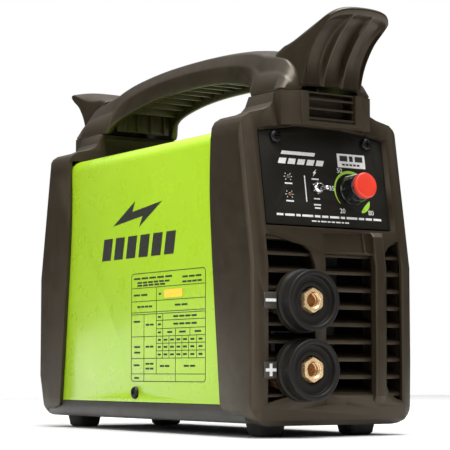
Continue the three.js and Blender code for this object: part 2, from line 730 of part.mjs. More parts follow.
const { baseRadius, topRadius, bodyTop, capTop } = knob;
const shaft = { radius: 3, bore: 3.3, low: -11.6, top: 11.7 };
function onKnob(name, geometry, colour) {
  const mesh = piece(name, geometry, colour, panelFrame);
  mesh.position.set(knob.x, knob.up, 0);
  mesh.rotation.z = knob.restTurn * RADIAN;
}
function knobBody() {
  const body = turned(
    [
      [0, shaft.top + GAP], [shaft.bore, shaft.top + GAP], [shaft.bore, 3.6], [7, 3.6], [7, 0.6],
      [baseRadius, 0.6], [baseRadius, 2.4], [baseRadius - 0.6, 3.2], [topRadius, 13.2],
      [topRadius - 0.5, bodyTop], [0, bodyTop],
    ],
    28,
  );
  const pointer = block([-0.6, 0.6], [topRadius - 1.5, baseRadius - 0.1], [3, 13.4]);
  return join(body, pointer);
}
onKnob('knob_body', knobBody(), colours.gloss);
const capProfile = [
  [0, bodyTop + GAP], [topRadius - 0.1, bodyTop + GAP], [topRadius - 0.1, capTop - 1.2],
  [topRadius - 0.9, capTop - 0.2], [0, capTop],
];
onKnob('knob_cap', turned(capProfile, 28), colours.red);
onKnob('knob_shaft', bar(shaft.radius, shaft.low, shaft.top, 16), colours.steel);
const potProfile = [
  [shaft.bore, shaft.low - GAP], [8.4, shaft.low - GAP], [8.4, -2.3], [4.4, -2.3], [4.4, 3.2],
  [shaft.bore, 3.2], [shaft.bore, shaft.low - GAP],
];
onKnob('potentiometer', turned(potProfile, 20), colours.steel);
onKnob('potentiometer_nut', cut(bar(6.4, GAP, 2.7, 6), bar(4.7, -1, 5, 16)), colours.steel);

const onToggle = (name, geometry, colour) =>
  piece(name, geometry, colour, panelFrame).position.set(toggle.x, toggle.up, 0);
const toggleCase = block([-4.2, 4.2], [-6.5, 6.5], [-12, -2.3]);
const toggleBody = join(toggleCase, bar(toggle.bushRadius, -3, toggle.bushTop, 16));
onToggle('toggle_body', cut(toggleBody, bar(toggle.boreRadius, -1, 8, 16)), colours.chrome);
onToggle('toggle_nut', cut(bar(4.4, GAP, 2.9, 6), bar(toggle.bushRadius + GAP, -1, 5, 16)), colours.chrome);
const leverProfile = [
  [0, -1.9], [1.3, -1.4], [1.9, 0], [1.3, 1.4], [1.05, 3], [1.05, 5], [1.6, 10.4], [1.3, 12], [0, 12.5],
];
const lever = turned(leverProfile, 14).rotateX(toggle.lean * RADIAN).translate(0, 0, toggle.pivot);
onToggle('toggle_lever', lever, colours.chrome);

const lampProfile = [[0, -6], [lamp.radius, -6], [lamp.radius, 0.6], [1, 1.4], [0, 1.7]];
const lampLens = (name, up, colour) =>
  piece(name, turned(lampProfile, 14), colour, panelFrame).position.set(lamp.x, up, 0);
lampLens('power_lamp', lamp.ups[0], colours.lens);
lampLens('alarm_lamp', lamp.ups[1], colours.amber);

function controlBoard() {
  const plate = block([-42, 42], [4, 55], [-15.2, -13.6]);
  const driver = block([-34, -14], [40, 50], [-18, -15]);
  const connector = block([8, 30], [8, 14], [-20, -15]);
  return join(plate, driver, connector);
}
piece('control_board', controlBoard(), colours.board, panelFrame);

// ---------------------------------------------------------------- welding sockets
const socketPlace = (mesh, z) => mesh.position.set(socket.x, 0, z);
// Socket pieces are turned on an axis along -Y, so a profile's height is the distance in front.
const facingFront = (geometry) => geometry.rotateX(90 * RADIAN);

function socketHousing() {
  const { barrelRadius, barrelEnd, boreRadius, flangeRadius, flangeFront, rim } = socket;
  const { cupRadius, cupInner, cupFloor } = socket;
  const seat = shell.frontFace + GAP;
  return facingFront(
    turned(
      [
        [boreRadius, -barrelEnd], [barrelRadius, -barrelEnd], [barrelRadius, seat], [flangeRadius, seat],
        [flangeRadius, -flangeFront - 0.6], [cupRadius - 0.3, -flangeFront], [cupRadius, -rim - 1.2],
        [cupRadius - 0.8, -rim], [cupInner + 0.7, -rim], [cupInner, -rim - 0.8],
        [cupInner - 0.3, -cupFloor],
        [boreRadius, -cupFloor], [boreRadius, -barrelEnd],
      ],
      32,
    ),
  );
}
function socketContact() {
  const { contactRadius, contactFront, contactEnd, plugRadius, plugDepth } = socket;
  const head = bar(contactRadius, 150, -contactFront, 6);
  const shank = bar(contactRadius - 0.7, -contactEnd, 152, 16);
  const plugHole = bar(plugRadius, -contactFront - plugDepth, 200, 16);
  const keyway = block([-1.4, 1.4], [0, plugRadius + 1.6], [-contactFront - plugDepth, 200]);
  return facingFront(cut(join(head, shank), plugHole, keyway));
}
const nutBore = bar(socket.barrelRadius + GAP, 100, 200, 24);
const socketNut = () => facingFront(cut(bar(15, 145, 151, 6), nutBore));
const tile = () => block([-58.2, -48.6], [-156.6, -155.3], [-5, 5]);
// Copper strip from a contact's end back into the case, bent over at the contact.
const busBar = (end) =>
  join(
    block([-6, 6], [socket.contactEnd + GAP, socket.contactEnd + 2.7], [-6, 6]),
    block([-6, 6], [socket.contactEnd + GAP, end], [3.8, 6]),
  );
for (const [name, z] of Object.entries(socket.heights)) {
  socketPlace(piece(`socket_${name}`, socketHousing(), colours.casing), z);
  socketPlace(piece(`contact_${name}`, socketContact(), colours.brass), z);
  socketPlace(piece(`socket_nut_${name}`, socketNut(), colours.casing), z);
  socketPlace(piece(`bus_bar_${name}`, busBar(name === 'minus' ? -62 : -98), colours.copper), z);
  piece(`polarity_tile_${name}`, tile(), colours.sheetBlack).position.z = z;
}

// ---------------------------------------------------------------- fan and rear fittings
function fanFrame() {
  const half = fan.size / 2;
  const [near, far] = [fan.y - fan.depth / 2, fan.y + fan.depth / 2];
  const hoop = cut(
    prismY(roundedRectangle(half, -half, half, 5), near, far),
    barY(fan.bore, near - 1, far + 1, 36, 0, 0),
  );
  const motor = barY(fan.hub, near, near + 3, 20, 0, 0);
  const struts = [45, 135].map((angle) =>
    block([-fan.bore - 1, fan.bore + 1], [near, near + 3], [-1.5, 1.5]).rotateY(angle * RADIAN),
  );
  return join(hoop, motor, ...struts);
}
function fanRotor() {
  const low = fan.y - fan.depth / 2 + 4;
  const high = low + 18;
  const hub = barY(fan.hub, low, high, 20, 0, 0);
  const blades = Array.from({ length: fan.blades }, (_, i) =>
    new THREE.BoxGeometry(fan.rotor - 16, 19, 1.5)
      .rotateX(38 * RADIAN)
      .translate((fan.rotor + 14) / 2, (low + high) / 2, 0)
      .rotateY((i * 2 * Math.PI) / fan.blades),
  );
  return join(hub, ...blades);
}
piece('fan_frame', fanFrame(), colours.fanBlack).position.set(fan.x, 0, fan.z);
piece('fan_rotor', fanRotor(), colours.fanBlack).position.set(fan.x, 0, fan.z);

function fanGuard() {
  const { halfWidth, low, high, radius } = fanWindow;
  const edge = GAP;
  const plateOutline = roundedRectangle(halfWidth - edge, low + edge, high - edge, radius - edge);
  const plate = prismY(plateOutline, 150.2, 152.4);
  const rows = 9;
  const pitch = (high - low - 6) / rows;
  const slots = Array.from({ length: rows }, (_, i) => low + 3 + pitch * (i + 0.5)).flatMap((z) => {
    const reach = Math.abs(z - (low + high) / 2) > (high - low) / 2 - 12 ? halfWidth - 9 : halfWidth - 3;
    const spans = [[-reach, -14.4], [-12.6, 12.6], [14.4, reach]];
    return spans.map((x) => block(x, [149, 154], [z - 2.7, z + 2.7]));
  });
  return cut(plate, ...slots);
}
piece('fan_guard', fanGuard(), colours.fanBlack);

const onRocker = (name, geometry, colour) =>
  piece(name, geometry, colour, rearFrame).position.set(rocker.x, rocker.up, 0);
function rockerHousing() {
  const { halfWidth, halfLength } = rocker;
  const rim = block([-halfWidth - 2.6, halfWidth + 2.6], [-halfLength - 2.6, halfLength + 2.6], [0.5, 2.2]);
  const box = block([-halfWidth - 1.2, halfWidth + 1.2], [-halfLength - 1.2, halfLength + 1.2], [-16, 1]);
  const well = block([-halfWidth - 0.3, halfWidth + 0.3], [-halfLength, halfLength], [-9, 5]);
  return cut(join(rim, box), well);
}
onRocker('rocker_housing', rockerHousing(), colours.gloss);
const rockerOutline = [[-6, -5], [6, -5], [8.3, 1.2], [8.15, 2.4], [0, 0.7], [-8.15, 2.4], [-8.3, 1.2]];
const rockerSolid = prismX(rockerOutline, -rocker.halfWidth + 0.1, rocker.halfWidth - 0.1)
  .rotateX(rocker.lean * RADIAN)
  .translate(0, 0, rocker.pivot);
onRocker('power_rocker', rockerSolid, colours.gloss);

const onGland = (name, geometry, colour) =>
  piece(name, geometry, colour, rearFrame).position.set(gland.x, gland.up, 0);
const glandProfile = [
  [gland.bore, -12], [gland.threadRadius, -12], [gland.threadRadius, 0.5], [10.6, 0.5], [10.6, 6], [9.4, 7],
  [9.4, 12.5], [7.4, 15.5], [gland.bore, 15.5], [gland.bore, -12],
];
const glandHex = cut(bar(gland.hexRadius, 0.5, 5.5, 6), bar(gland.threadRadius + 1, -1, 8, 16));
onGland('cord_gland', join(turned(glandProfile, 20), glandHex), colours.gloss);
const glandNut = cut(bar(12, -8, -3.2, 6), bar(gland.threadRadius + GAP, -20, 5, 20));
onGland('gland_nut', glandNut, colours.gloss);

// ---------------------------------------------------------------- power electronics
const boardTop = board.underside + board.thickness;
const onBoard = boardTop + GAP;
function mainBoard() {
  const { halfWidth, halfLength, underside } = board;
  return block([-halfWidth, halfWidth], [-halfLength, halfLength], [underside, boardTop]);
}
piece('main_board', mainBoard(), colours.board);

// Finned extrusion standing on the board; side -1 is the primary, on the left.
const sink = { face: 22, depth: 30, height: 50, base: 4, fins: 7, fin: 1.6, halfLength: 46 };
function heatSink(side) {
  const { face, depth, height, base, fins, fin, halfLength } = sink;
  const top = onBoard + height;
  const spine = block([face, face + base], [-halfLength, halfLength], [onBoard, top]);
  const pitch = (height - fin) / (fins - 1);
  const blades = Array.from({ length: fins }, (_, i) =>
    block(
      [face + base - 1, face + depth],
      [-halfLength, halfLength],
      [onBoard + i * pitch, onBoard + i * pitch + fin],
    ),
  );
  const outline = join(spine, ...blades);
  return side > 0 ? outline : outline.rotateZ(180 * RADIAN);
}
piece('heat_sink_primary', heatSink(-1), colours.aluminium);
piece('heat_sink_secondary', heatSink(1), colours.aluminium);
const packageBlock = (side, y) => {
  const x = side > 0 ? [16.6, sink.face - GAP] : [-sink.face + GAP, -16.6];
  return block(x, [y - 8, y + 8], [onBoard + 8, onBoard + 29]);
};
piece('switch_transistor', packageBlock(-1, 20), colours.epoxy);
piece('output_diode', packageBlock(1, 20), colours.epoxy);

const capacitorProfile = [[0, 0], [12, 0], [12, 38.6], [11.2, 40], [9.6, 39.4], [0, 39.4]];
for (const [name, y] of [['front', -26], ['rear', 2]]) {
  piece(`capacitor_${name}`, turned(capacitorProfile, 24), colours.sleeve).position.set(0, y, onBoard);
}

const core = { halfWidth: 24, y: [54, 88], height: 44, centreLeg: 6.5, window: 17, yoke: 7 };
function transformerCore() {
  const top = onBoard + core.height;
  const windowsZ = [onBoard + core.yoke, top - core.yoke];
  const yokes = block([-core.halfWidth, core.halfWidth], core.y, [onBoard, top]);
  const wide = [core.y[0] - 1, core.y[1] + 1];
  return cut(
    yokes,
    block([core.centreLeg, core.window], wide, windowsZ),
    block([-core.window, -core.centreLeg], wide, windowsZ),
  );
}
function transformerWinding() {
  const z = [onBoard + core.yoke + 1, onBoard + core.height - core.yoke - 1];
  const outside = block([-core.window + 0.4, core.window - 0.4], [core.y[0] - 5, core.y[1] + 5], z);
  const hole = block(
    [-core.centreLeg - 0.4, core.centreLeg + 0.4],
    [core.y[0] - 0.4, core.y[1] + 0.4],
    [z[0] - 1, z[1] + 1],
  );
  return cut(outside, hole);
}
piece('transformer_core', transformerCore(), colours.ferrite);
piece('transformer_winding', transformerWinding(), colours.tape);

const chokeProfile = [
  [9, 0], [21, 0], [22.5, 2], [22.5, 16], [21, 18], [9, 18], [7.5, 16], [7.5, 2], [9, 0],
];
piece('output_choke', turned(chokeProfile, 28), colours.copper).position.set(0, -70, onBoard);
const bridge = block([28, 50], [56, 80], [onBoard, onBoard + 7]);
piece('bridge_rectifier', bridge, colours.epoxy);

// Flat ribbon from the control board's connector down to the front edge of the main board.
function ribbon() {
  const under = [[-92.8, 22.6], [-104, 26], [-114, 60], [-118.5, 118], [-120.5, 144.2]];
  const over = under.map(([y, z]) => [y + 1.2, z + 0.4]).reverse();
  return prismX([...under, ...over], 10, 28);
}
piece('ribbon_cable', ribbon(), colours.epoxy);

export default machine;
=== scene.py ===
import json
import math

import bmesh
import bpy
from mathutils import Matrix, Vector


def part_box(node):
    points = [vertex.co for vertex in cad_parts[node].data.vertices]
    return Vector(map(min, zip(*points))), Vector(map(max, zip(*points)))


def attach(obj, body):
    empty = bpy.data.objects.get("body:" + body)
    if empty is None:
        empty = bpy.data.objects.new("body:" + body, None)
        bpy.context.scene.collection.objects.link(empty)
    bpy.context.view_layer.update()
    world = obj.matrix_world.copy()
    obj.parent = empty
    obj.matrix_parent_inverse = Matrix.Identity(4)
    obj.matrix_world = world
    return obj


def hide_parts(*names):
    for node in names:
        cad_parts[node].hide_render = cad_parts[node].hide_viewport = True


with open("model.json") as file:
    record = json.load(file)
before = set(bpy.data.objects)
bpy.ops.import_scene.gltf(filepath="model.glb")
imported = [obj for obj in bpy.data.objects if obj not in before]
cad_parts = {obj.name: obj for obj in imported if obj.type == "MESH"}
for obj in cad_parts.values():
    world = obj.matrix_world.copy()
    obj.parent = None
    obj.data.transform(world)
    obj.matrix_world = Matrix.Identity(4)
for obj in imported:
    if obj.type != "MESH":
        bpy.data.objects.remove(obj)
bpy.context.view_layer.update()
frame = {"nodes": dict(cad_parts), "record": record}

MM = 0.001
SCENE = bpy.context.scene


# ------------------------------------------------------------------ materials
def principled(name):
    """A new material's node tree and its shader."""
    made = bpy.data.materials.new(name)
    made.use_nodes = True
    tree = made.node_tree
    return made, tree, tree.nodes["Principled BSDF"]


def noise(tree, size_mm, detail=2.0, stretch=(1, 1, 1)):
    """Noise whose blotches are size_mm across, in the object's own space."""
    place = tree.nodes.new("ShaderNodeTexCoord")
    mapping = tree.nodes.new("ShaderNodeMapping")
    mapping.inputs["Scale"].default_value = stretch
    texture = tree.nodes.new("ShaderNodeTexNoise")
    texture.inputs["Scale"].default_value = 1 / (size_mm * MM)
    texture.inputs["Detail"].default_value = detail
    tree.links.new(place.outputs["Object"], mapping.inputs["Vector"])
    tree.links.new(mapping.outputs["Vector"], texture.inputs["Vector"])
    return texture.outputs["Fac"]


def ramp(tree, fac, stops):
    """A colour ramp over (position, colour) stops."""
    node = tree.nodes.new("ShaderNodeValToRGB")
    elements = node.color_ramp.elements
    while len(elements) < len(stops):
        elements.new(0.5)
    for element, (position, colour) in zip(elements, stops):
        element.position = position
        element.color = (*colour, 1)
    tree.links.new(fac, node.inputs["Fac"])
    return node.outputs["Color"]


def remap(tree, value, source, target):
    """value moved from the range source to the range target."""
    node = tree.nodes.new("ShaderNodeMapRange")
    node.inputs["From Min"].default_value, node.inputs["From Max"].default_value = source
    node.inputs["To Min"].default_value, node.inputs["To Max"].default_value = target
    tree.links.new(value, node.inputs["Value"])
    return node.outputs["Result"]


def mix(tree, fac, first, second, blend="MIX"):
    """Two colours mixed by fac; each may be a fixed tuple or a socket."""
    node = tree.nodes.new("ShaderNodeMix")
    node.data_type = "RGBA"
    node.blend_type = blend
    if isinstance(fac, (int, float)):
        node.inputs["Factor"].default_value = fac
    else:
        tree.links.new(fac, node.inputs["Factor"])
    for socket, value in (("A", first), ("B", second)):
        into = next(i for i in node.inputs if i.name == socket and i.type == "RGBA")
        if isinstance(value, tuple):
            into.default_value = (*value, 1)
        else:
            tree.links.new(value, into)
    return next(o for o in node.outputs if o.type == "RGBA")


def bump(tree, shader, layers):
    """Adds bump layers, each (height, depth in mm)."""
    normal = None
    for height, depth_mm in layers:
        node = tree.nodes.new("ShaderNodeBump")
        node.inputs["Distance"].default_value = depth_mm * MM
        tree.links.new(height, node.inputs["Height"])
        if normal is not None:
            tree.links.new(normal, node.inputs["Normal"])
        normal = node.outputs["Normal"]
    tree.links.new(normal, shader.inputs["Normal"])


def moulded(
    name, dark, light, rough, grain_mm=0.5, depth_mm=0.03, edge=None, coat=0.0, gloss=0.5, tint=(1, 1, 1)
):
    """Moulded plastic or rubber: blotchy tone, spark-eroded grain, and sharp edges lightened towards edge,
    partly rubbed wear and partly a painted highlight.
    """
    made, tree, shader = principled(name)
    tone = ramp(tree, noise(tree, 24, 4), [(0.35, dark), (0.68, light)])
    grain = noise(tree, grain_mm, 3)
    fleck = ramp(tree, grain, [(0.3, (0.72, 0.72, 0.72)), (0.62, (1, 1, 1))])
    colour = mix(tree, 0.55, tone, fleck, "MULTIPLY")
    if edge:
        # Convex edges lighten towards edge: partly rubbed wear, partly a painted highlight.
        geometry = tree.nodes.new("ShaderNodeNewGeometry")
        worn = remap(tree, geometry.outputs["Pointiness"], (0.515, 0.6), (0.0, 0.8))
        colour = mix(tree, worn, colour, edge)
    tree.links.new(colour, shader.inputs["Base Color"])
    tree.links.new(remap(tree, noise(tree, 9, 3), (0.3, 0.7), rough), shader.inputs["Roughness"])
    shader.inputs["Coat Weight"].default_value = coat
    shader.inputs["Specular IOR Level"].default_value = gloss
    shader.inputs["Specular Tint"].default_value = (*tint, 1)
    bump(tree, shader, [(grain, depth_mm), (noise(tree, 3.5, 2), depth_mm * 1.6)])
    return made


def painted(name, dark, light, rough, peel_mm=1.6, depth_mm=0.012, coat=0.35, streak=None):
    """Powder-coated sheet: faint orange peel, a clear top, and rubbed patches."""
    made, tree, shader = principled(name)
    tone = ramp(tree, noise(tree, 60, 3), [(0.3, dark), (0.7, light)])
    if streak:
        scuffs = noise(tree, 5, 5, (1, 0.16, 1))
        tone = mix(tree, remap(tree, scuffs, (0.68, 0.8), (0.0, 0.2)), tone, streak)
    tree.links.new(tone, shader.inputs["Base Color"])
    tree.links.new(remap(tree, noise(tree, 14, 4), (0.3, 0.7), rough), shader.inputs["Roughness"])
    shader.inputs["Coat Weight"].default_value = coat
    shader.inputs["Coat Roughness"].default_value = 0.12
    bump(tree, shader, [(noise(tree, peel_mm, 2), depth_mm)])
    return made


def metal(name, dark, light, rough, stretch=(1, 1, 1), grain_mm=0.6, depth_mm=0.008, metallic=1.0):
    """Turned, ground or plated metal with fine tool marks and dull patches."""
    made, tree, shader = principled(name)
    shader.inputs["Metallic"].default_value = metallic
    marks = noise(tree, grain_mm, 3, stretch)
    tone = ramp(tree, noise(tree, 6, 3), [(0.3, dark), (0.7, light)])
    tree.links.new(tone, shader.inputs["Base Color"])
    tree.links.new(remap(tree, marks, (0.3, 0.7), rough), shader.inputs["Roughness"])
    bump(tree, shader, [(marks, depth_mm)])
    return made


def ink(name, colour, worn):
    """Screen-printed ink, slightly thin in places."""
    made, tree, shader = principled(name)
    tone = ramp(tree, noise(tree, 1.2, 3), [(0.3, worn), (0.5, colour)])
    tree.links.new(tone, shader.inputs["Base Color"])
    tree.links.new(remap(tree, noise(tree, 2, 2), (0.3, 0.7), (0.42, 0.6)), shader.inputs["Roughness"])
    bump(tree, shader, [(noise(tree, 0.5, 2), 0.01)])
    return made


def lens(name, colour, deep):
    """A small tinted lamp lens."""
    made, tree, shader = principled(name)
    tone = ramp(tree, noise(tree, 1.5, 1), [(0.3, deep), (0.7, colour)])
    tree.links.new(tone, shader.inputs["Base Color"])
    shader.inputs["Roughness"].default_value = 0.12
    shader.inputs["Coat Weight"].default_value = 1.0
    bump(tree, shader, [(noise(tree, 1, 1), 0.01)])
    return made


CASING_DARK = (0.019, 0.0135, 0.0075)
CASING_LIGHT = (0.027, 0.0195, 0.011)
# Lighter colour for the casing's sharp edges: partly rubbed wear, partly a painted highlight.
CASING_EDGE_WEAR_AND_HIGHLIGHT = (0.047, 0.036, 0.024)
MATERIALS = {
    "casing_plastic": moulded(
        "casing_plastic", CASING_DARK, CASING_LIGHT, (0.33, 0.45),
        edge=CASING_EDGE_WEAR_AND_HIGHLIGHT, gloss=0.42, tint=(1.0, 0.86, 0.68),
    ),
    "socket_plastic": moulded(
        "socket_plastic", (0.012, 0.011, 0.009), (0.018, 0.016, 0.014), (0.34, 0.46), 0.4, 0.012, gloss=0.2
    ),
    # Near-black for the case's dark inside: painted shade.
    "void_black": moulded(
        "void_black", (0.006, 0.006, 0.005), (0.010, 0.010, 0.009), (0.6, 0.8), 0.6, 0.02, gloss=0.2
    ),
    "green_paint": painted(
        "green_paint", (0.355, 0.590, 0.016), (0.390, 0.620, 0.022), (0.24, 0.36), streak=(0.5, 0.72, 0.12)
    ),
    "black_sheet": painted(
        "black_sheet", (0.032, 0.029, 0.026), (0.050, 0.046, 0.041), (0.4, 0.55), 0.8, 0.02, 0.1
    ),
    "panel_black": moulded(
        "panel_black", (0.011, 0.0095, 0.007), (0.016, 0.014, 0.0105), (0.40, 0.52), 0.35, 0.006, gloss=0.2
    ),
    "foot_rubber": moulded(
        "foot_rubber", (0.012, 0.012, 0.012), (0.022, 0.021, 0.020), (0.65, 0.85), 0.7, 0.03
    ),
    "black_steel": metal("black_steel", (0.02, 0.02, 0.02), (0.05, 0.05, 0.05), (0.3, 0.5)),
    "knob_black": moulded(
        "knob_black", (0.006, 0.006, 0.006), (0.012, 0.012, 0.012), (0.14, 0.24), 0.8, 0.003, coat=0.6
    ),
    "knob_red": moulded(
        "knob_red", (0.80, 0.040, 0.018), (0.90, 0.060, 0.026), (0.28, 0.4), 0.5, 0.006, coat=0.2
    ),
    "zinc_steel": metal("zinc_steel", (0.42, 0.42, 0.40), (0.58, 0.58, 0.56), (0.25, 0.42)),
    "chrome_plate": metal(
        "chrome_plate", (0.62, 0.61, 0.59), (0.80, 0.80, 0.79), (0.08, 0.2), depth_mm=0.003
    ),
    "green_lens": lens("green_lens", (0.05, 0.10, 0.04), (0.02, 0.05, 0.02)),
    "amber_lens": lens("amber_lens", (0.16, 0.08, 0.02), (0.08, 0.03, 0.01)),
    "brass_contact": metal(
        "brass_contact", (0.86, 0.56, 0.27), (0.98, 0.76, 0.46), (0.2, 0.34), (1, 0.2, 1), 0.5, metallic=0.6
    ),
    "copper": metal("copper", (0.66, 0.30, 0.15), (0.80, 0.42, 0.24), (0.22, 0.4), (1, 0.2, 1)),
    "fan_plastic": moulded(
        "fan_plastic", (0.014, 0.014, 0.014), (0.026, 0.025, 0.024), (0.45, 0.6), 0.5, 0.015
    ),
    "circuit_board": painted(
        "circuit_board", (0.012, 0.10, 0.035), (0.025, 0.15, 0.055), (0.3, 0.45), 0.9, 0.03, 0.2
    ),
    "heat_sink_aluminium": metal(
        "heat_sink_aluminium", (0.55, 0.56, 0.57), (0.7, 0.71, 0.72), (0.3, 0.45), (1, 0.05, 1)
    ),
    "epoxy_black": moulded("epoxy_black", (0.012, 0.012, 0.012), (0.02, 0.02, 0.02), (0.4, 0.55), 0.3, 0.01),
    "capacitor_sleeve": painted(
        "capacitor_sleeve", (0.008, 0.018, 0.08), (0.014, 0.028, 0.12), (0.22, 0.32), 1.2, 0.01, 0.5
    ),
    "ferrite": metal("ferrite", (0.04, 0.044, 0.05), (0.065, 0.07, 0.075), (0.5, 0.7)),
    "winding_tape": painted(
        "winding_tape", (0.55, 0.30, 0.03), (0.68, 0.40, 0.05), (0.3, 0.45), 2.0, 0.05, 0.2
    ),
}
INKS = {
    "white": ink("ink_white", (0.82, 0.82, 0.80), (0.66, 0.66, 0.64)),
    "green": ink("ink_green", (0.38, 0.66, 0.05), (0.30, 0.52, 0.04)),
    "black": ink("ink_black", (0.012, 0.013, 0.010), (0.03, 0.035, 0.02)),
    "yellow": ink("ink_yellow", (0.90, 0.62, 0.05), (0.78, 0.52, 0.05)),
}
SLOT_OF = {row["node"]: row["material_slot"] for row in frame["record"]["subparts"]}
BODY_OF = {node: body for body, nodes in frame["record"]["behaviour"]["bodies"].items() for node in nodes}

for node_name, node_object in frame["nodes"].items():
    node_object.data.materials.clear()
    node_object.data.materials.append(MATERIALS[SLOT_OF[node_name]])


# ------------------------------------------------------------------ mesh tools
def finish_mesh(name, mesh, material, body, node=None, sharp=35):
    """Places a mesh as a piece that rides on a body and may stand for a CAD node."""
    mesh.materials.clear()
    mesh.materials.append(material)
    mesh.shade_smooth()
    mesh.set_sharp_from_angle(angle=math.radians(sharp))
    piece = bpy.data.objects.new(name, mesh)
    SCENE.collection.objects.link(piece)
    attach(piece, body)
    if node:
        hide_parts(node)
    return piece


def applied(mesh, *modifiers):
    """The mesh after modifiers, each (type, settings)."""
    carrier = bpy.data.objects.new("carrier", mesh)
    SCENE.collection.objects.link(carrier)
    for kind, settings in modifiers:
        modifier = carrier.modifiers.new(kind.lower(), kind)
        for key, value in settings.items():
            setattr(modifier, key, value)
    evaluated = carrier.evaluated_get(bpy.context.evaluated_depsgraph_get())
    result = bpy.data.meshes.new_from_object(evaluated)
    bpy.data.objects.remove(carrier)
    return result


def rounding(width_mm, segments=2, angle=28):
    """The modifier that rounds edges sharper than angle, in degrees."""
    return (
        "BEVEL",
        {
            "width": width_mm * MM,
            "segments": segments,
            "limit_method": "ANGLE",
            "angle_limit": math.radians(angle),
            "use_clamp_overlap": True,
        },
    )


def refined(node, width_mm, segments=2, angle=28):
    """A CAD node's shape as a new piece with its edges rounded."""
    source = bmesh.new()
    source.from_mesh(frame["nodes"][node].data)
    bmesh.ops.remove_doubles(source, verts=source.verts, dist=1e-6)
    bmesh.ops.dissolve_limit(
        source, angle_limit=math.radians(0.6), verts=source.verts, edges=source.edges
    )
    mesh = bpy.data.meshes.new(node)
    source.to_mesh(mesh)
    source.free()
    mesh = applied(mesh, rounding(width_mm, segments, angle))
    slot = SLOT_OF[node]
    return finish_mesh(f"{node}_shell", mesh, MATERIALS[slot], BODY_OF[node], node, 35)


def smooth_table(rows, count):
    """count rows along the Catmull-Rom curve through rows of equal length."""
    def between(p, q, r, s, t):
        straight = 2 * q + (r - p) * t
        square = (2 * p - 5 * q + 4 * r - s) * t * t
        cube = (3 * q - p - 3 * r + s) * t**3
        return 0.5 * (straight + square + cube)

    samples = []
    spans = len(rows) - 1
    for k in range(count):
        at = k / (count - 1) * spans
        i = min(int(at), spans - 1)
        t = at - i
        a, b, c, d = (rows[max(0, min(spans, i + j))] for j in (-1, 0, 1, 2))
        samples.append([between(p, q, r, s, t) for p, q, r, s in zip(a, b, c, d)])
    return samples


def skinned(name, loops):
    """A closed mesh through equal loops of points given in mm."""
    made = bmesh.new()
    rings = [[made.verts.new(Vector(point) * MM) for point in loop] for loop in loops]
    size = len(rings[0])
    for low, high in zip(rings, rings[1:]):
        for i in range(size):
            j = (i + 1) % size
            made.faces.new((low[i], low[j], high[j], high[i]))
    made.faces.new(rings[0][::-1])
    made.faces.new(rings[-1])
    bmesh.ops.recalc_face_normals(made, faces=made.faces)
    mesh = bpy.data.meshes.new(name)
    made.to_mesh(mesh)
    made.free()
    return mesh


def turned(name, profile, place, radius_at=None, segments=72):
    """A lathe piece through [radius, height] points; radius_at(radius, height, angle) may shape it."""
    loops = []
    for radius, height in profile:
        loop = []
        for k in range(segments):
            angle = 2 * math.pi * k / segments
            r = radius_at(radius, height, angle) if radius_at else radius
            loop.append((r * math.cos(angle), r * math.sin(angle), height))
        loops.append(loop)
    mesh = skinned(name, loops)
    mesh.transform(place)
    return mesh


def fillet(profile, radius, steps=3):
    """Rounds a profile's inner corners by short curves."""
    out = [profile[0]]
    for before, corner, after in zip(profile, profile[1:], profile[2:]):
        c = Vector(corner)
        into, away = Vector(before) - c, Vector(after) - c
        reach = min(radius, into.length * 0.45, away.length * 0.45)
        a, b = c + into.normalized() * reach, c + away.normalized() * reach
        for k in range(steps + 1):
            t = k / steps
            point = a * (1 - t) ** 2 + c * 2 * t * (1 - t) + b * t * t
            out.append((point.x, point.y))
    out.append(profile[-1])
    return out


def axes_matrix(origin, across, up, out):
    """Places local X, Y, Z along across, up, out, with the origin in metres."""
    turn = Matrix((across, up, out)).transposed().to_4x4()
    return Matrix.Translation(origin) @ turn


def slabs(name, outlines, place, colour, body="case", thickness=0.12, lift=0.04):
    """Printed shapes: thin plates over outlines in local mm."""
    made = bmesh.new()
    for outline in outlines:
        low = [made.verts.new((x * MM, y * MM, lift * MM)) for x, y in outline]
        high = [made.verts.new((x * MM, y * MM, (lift + thickness) * MM)) for x, y in outline]
        made.faces.new(low[::-1])
        made.faces.new(high)
        for i in range(len(outline)):
            j = (i + 1) % len(outline)
            made.faces.new((low[i], low[j], high[j], high[i]))
    bmesh.ops.recalc_face_normals(made, faces=made.faces)
    mesh = bpy.data.meshes.new(name)
    made.to_mesh(mesh)
    made.free()
    mesh.transform(place)
    return finish_mesh(name, mesh, INKS[colour], body)


def rectangle(x0, y0, x1, y1):
    """The outline of an upright rectangle."""
    return [(x0, y0), (x1, y0), (x1, y1), (x0, y1)]


def slanted(x0, y0, x1, y1, lean):
    """The outline of a rectangle whose top is moved sideways by lean."""
    return [(x0, y0), (x1, y0), (x1 + lean, y1), (x0 + lean, y1)]


def rounded(x0, y0, x1, y1, radius, steps=5):
    """The outline of a rectangle with round corners."""
    corners = [(x1 - radius, y0 + radius, -90), (x1 - radius, y1 - radius, 0)]
    corners += [(x0 + radius, y1 - radius, 90), (x0 + radius, y0 + radius, 180)]
    points = []
    for cx, cy, start in corners:
        for k in range(steps + 1):
            angle = math.radians(start + 90 * k / steps)
            points.append((cx + radius * math.cos(angle), cy + radius * math.sin(angle)))
    return points


# ------------------------------------------------------------------ where things are
JOINTS = {joint["name"]: joint for joint in frame["record"]["behaviour"]["joints"]}
ACROSS = Vector((1, 0, 0))
KNOB_AXIS = -Vector(JOINTS["current_knob_turn"]["axis"])
PANEL_UP = KNOB_AXIS.cross(ACROSS)
KNOB_AT = Vector(JOINTS["current_knob_turn"]["pos_m"])
KNOB_ON_PANEL = (20.8, 24.8)  # the knob's place on the control panel, in mm from its foot
PANEL_FOOT = KNOB_AT - ACROSS * KNOB_ON_PANEL[0] * MM - PANEL_UP * KNOB_ON_PANEL[1] * MM
PANEL = axes_matrix(PANEL_FOOT, ACROSS, PANEL_UP, KNOB_AXIS)


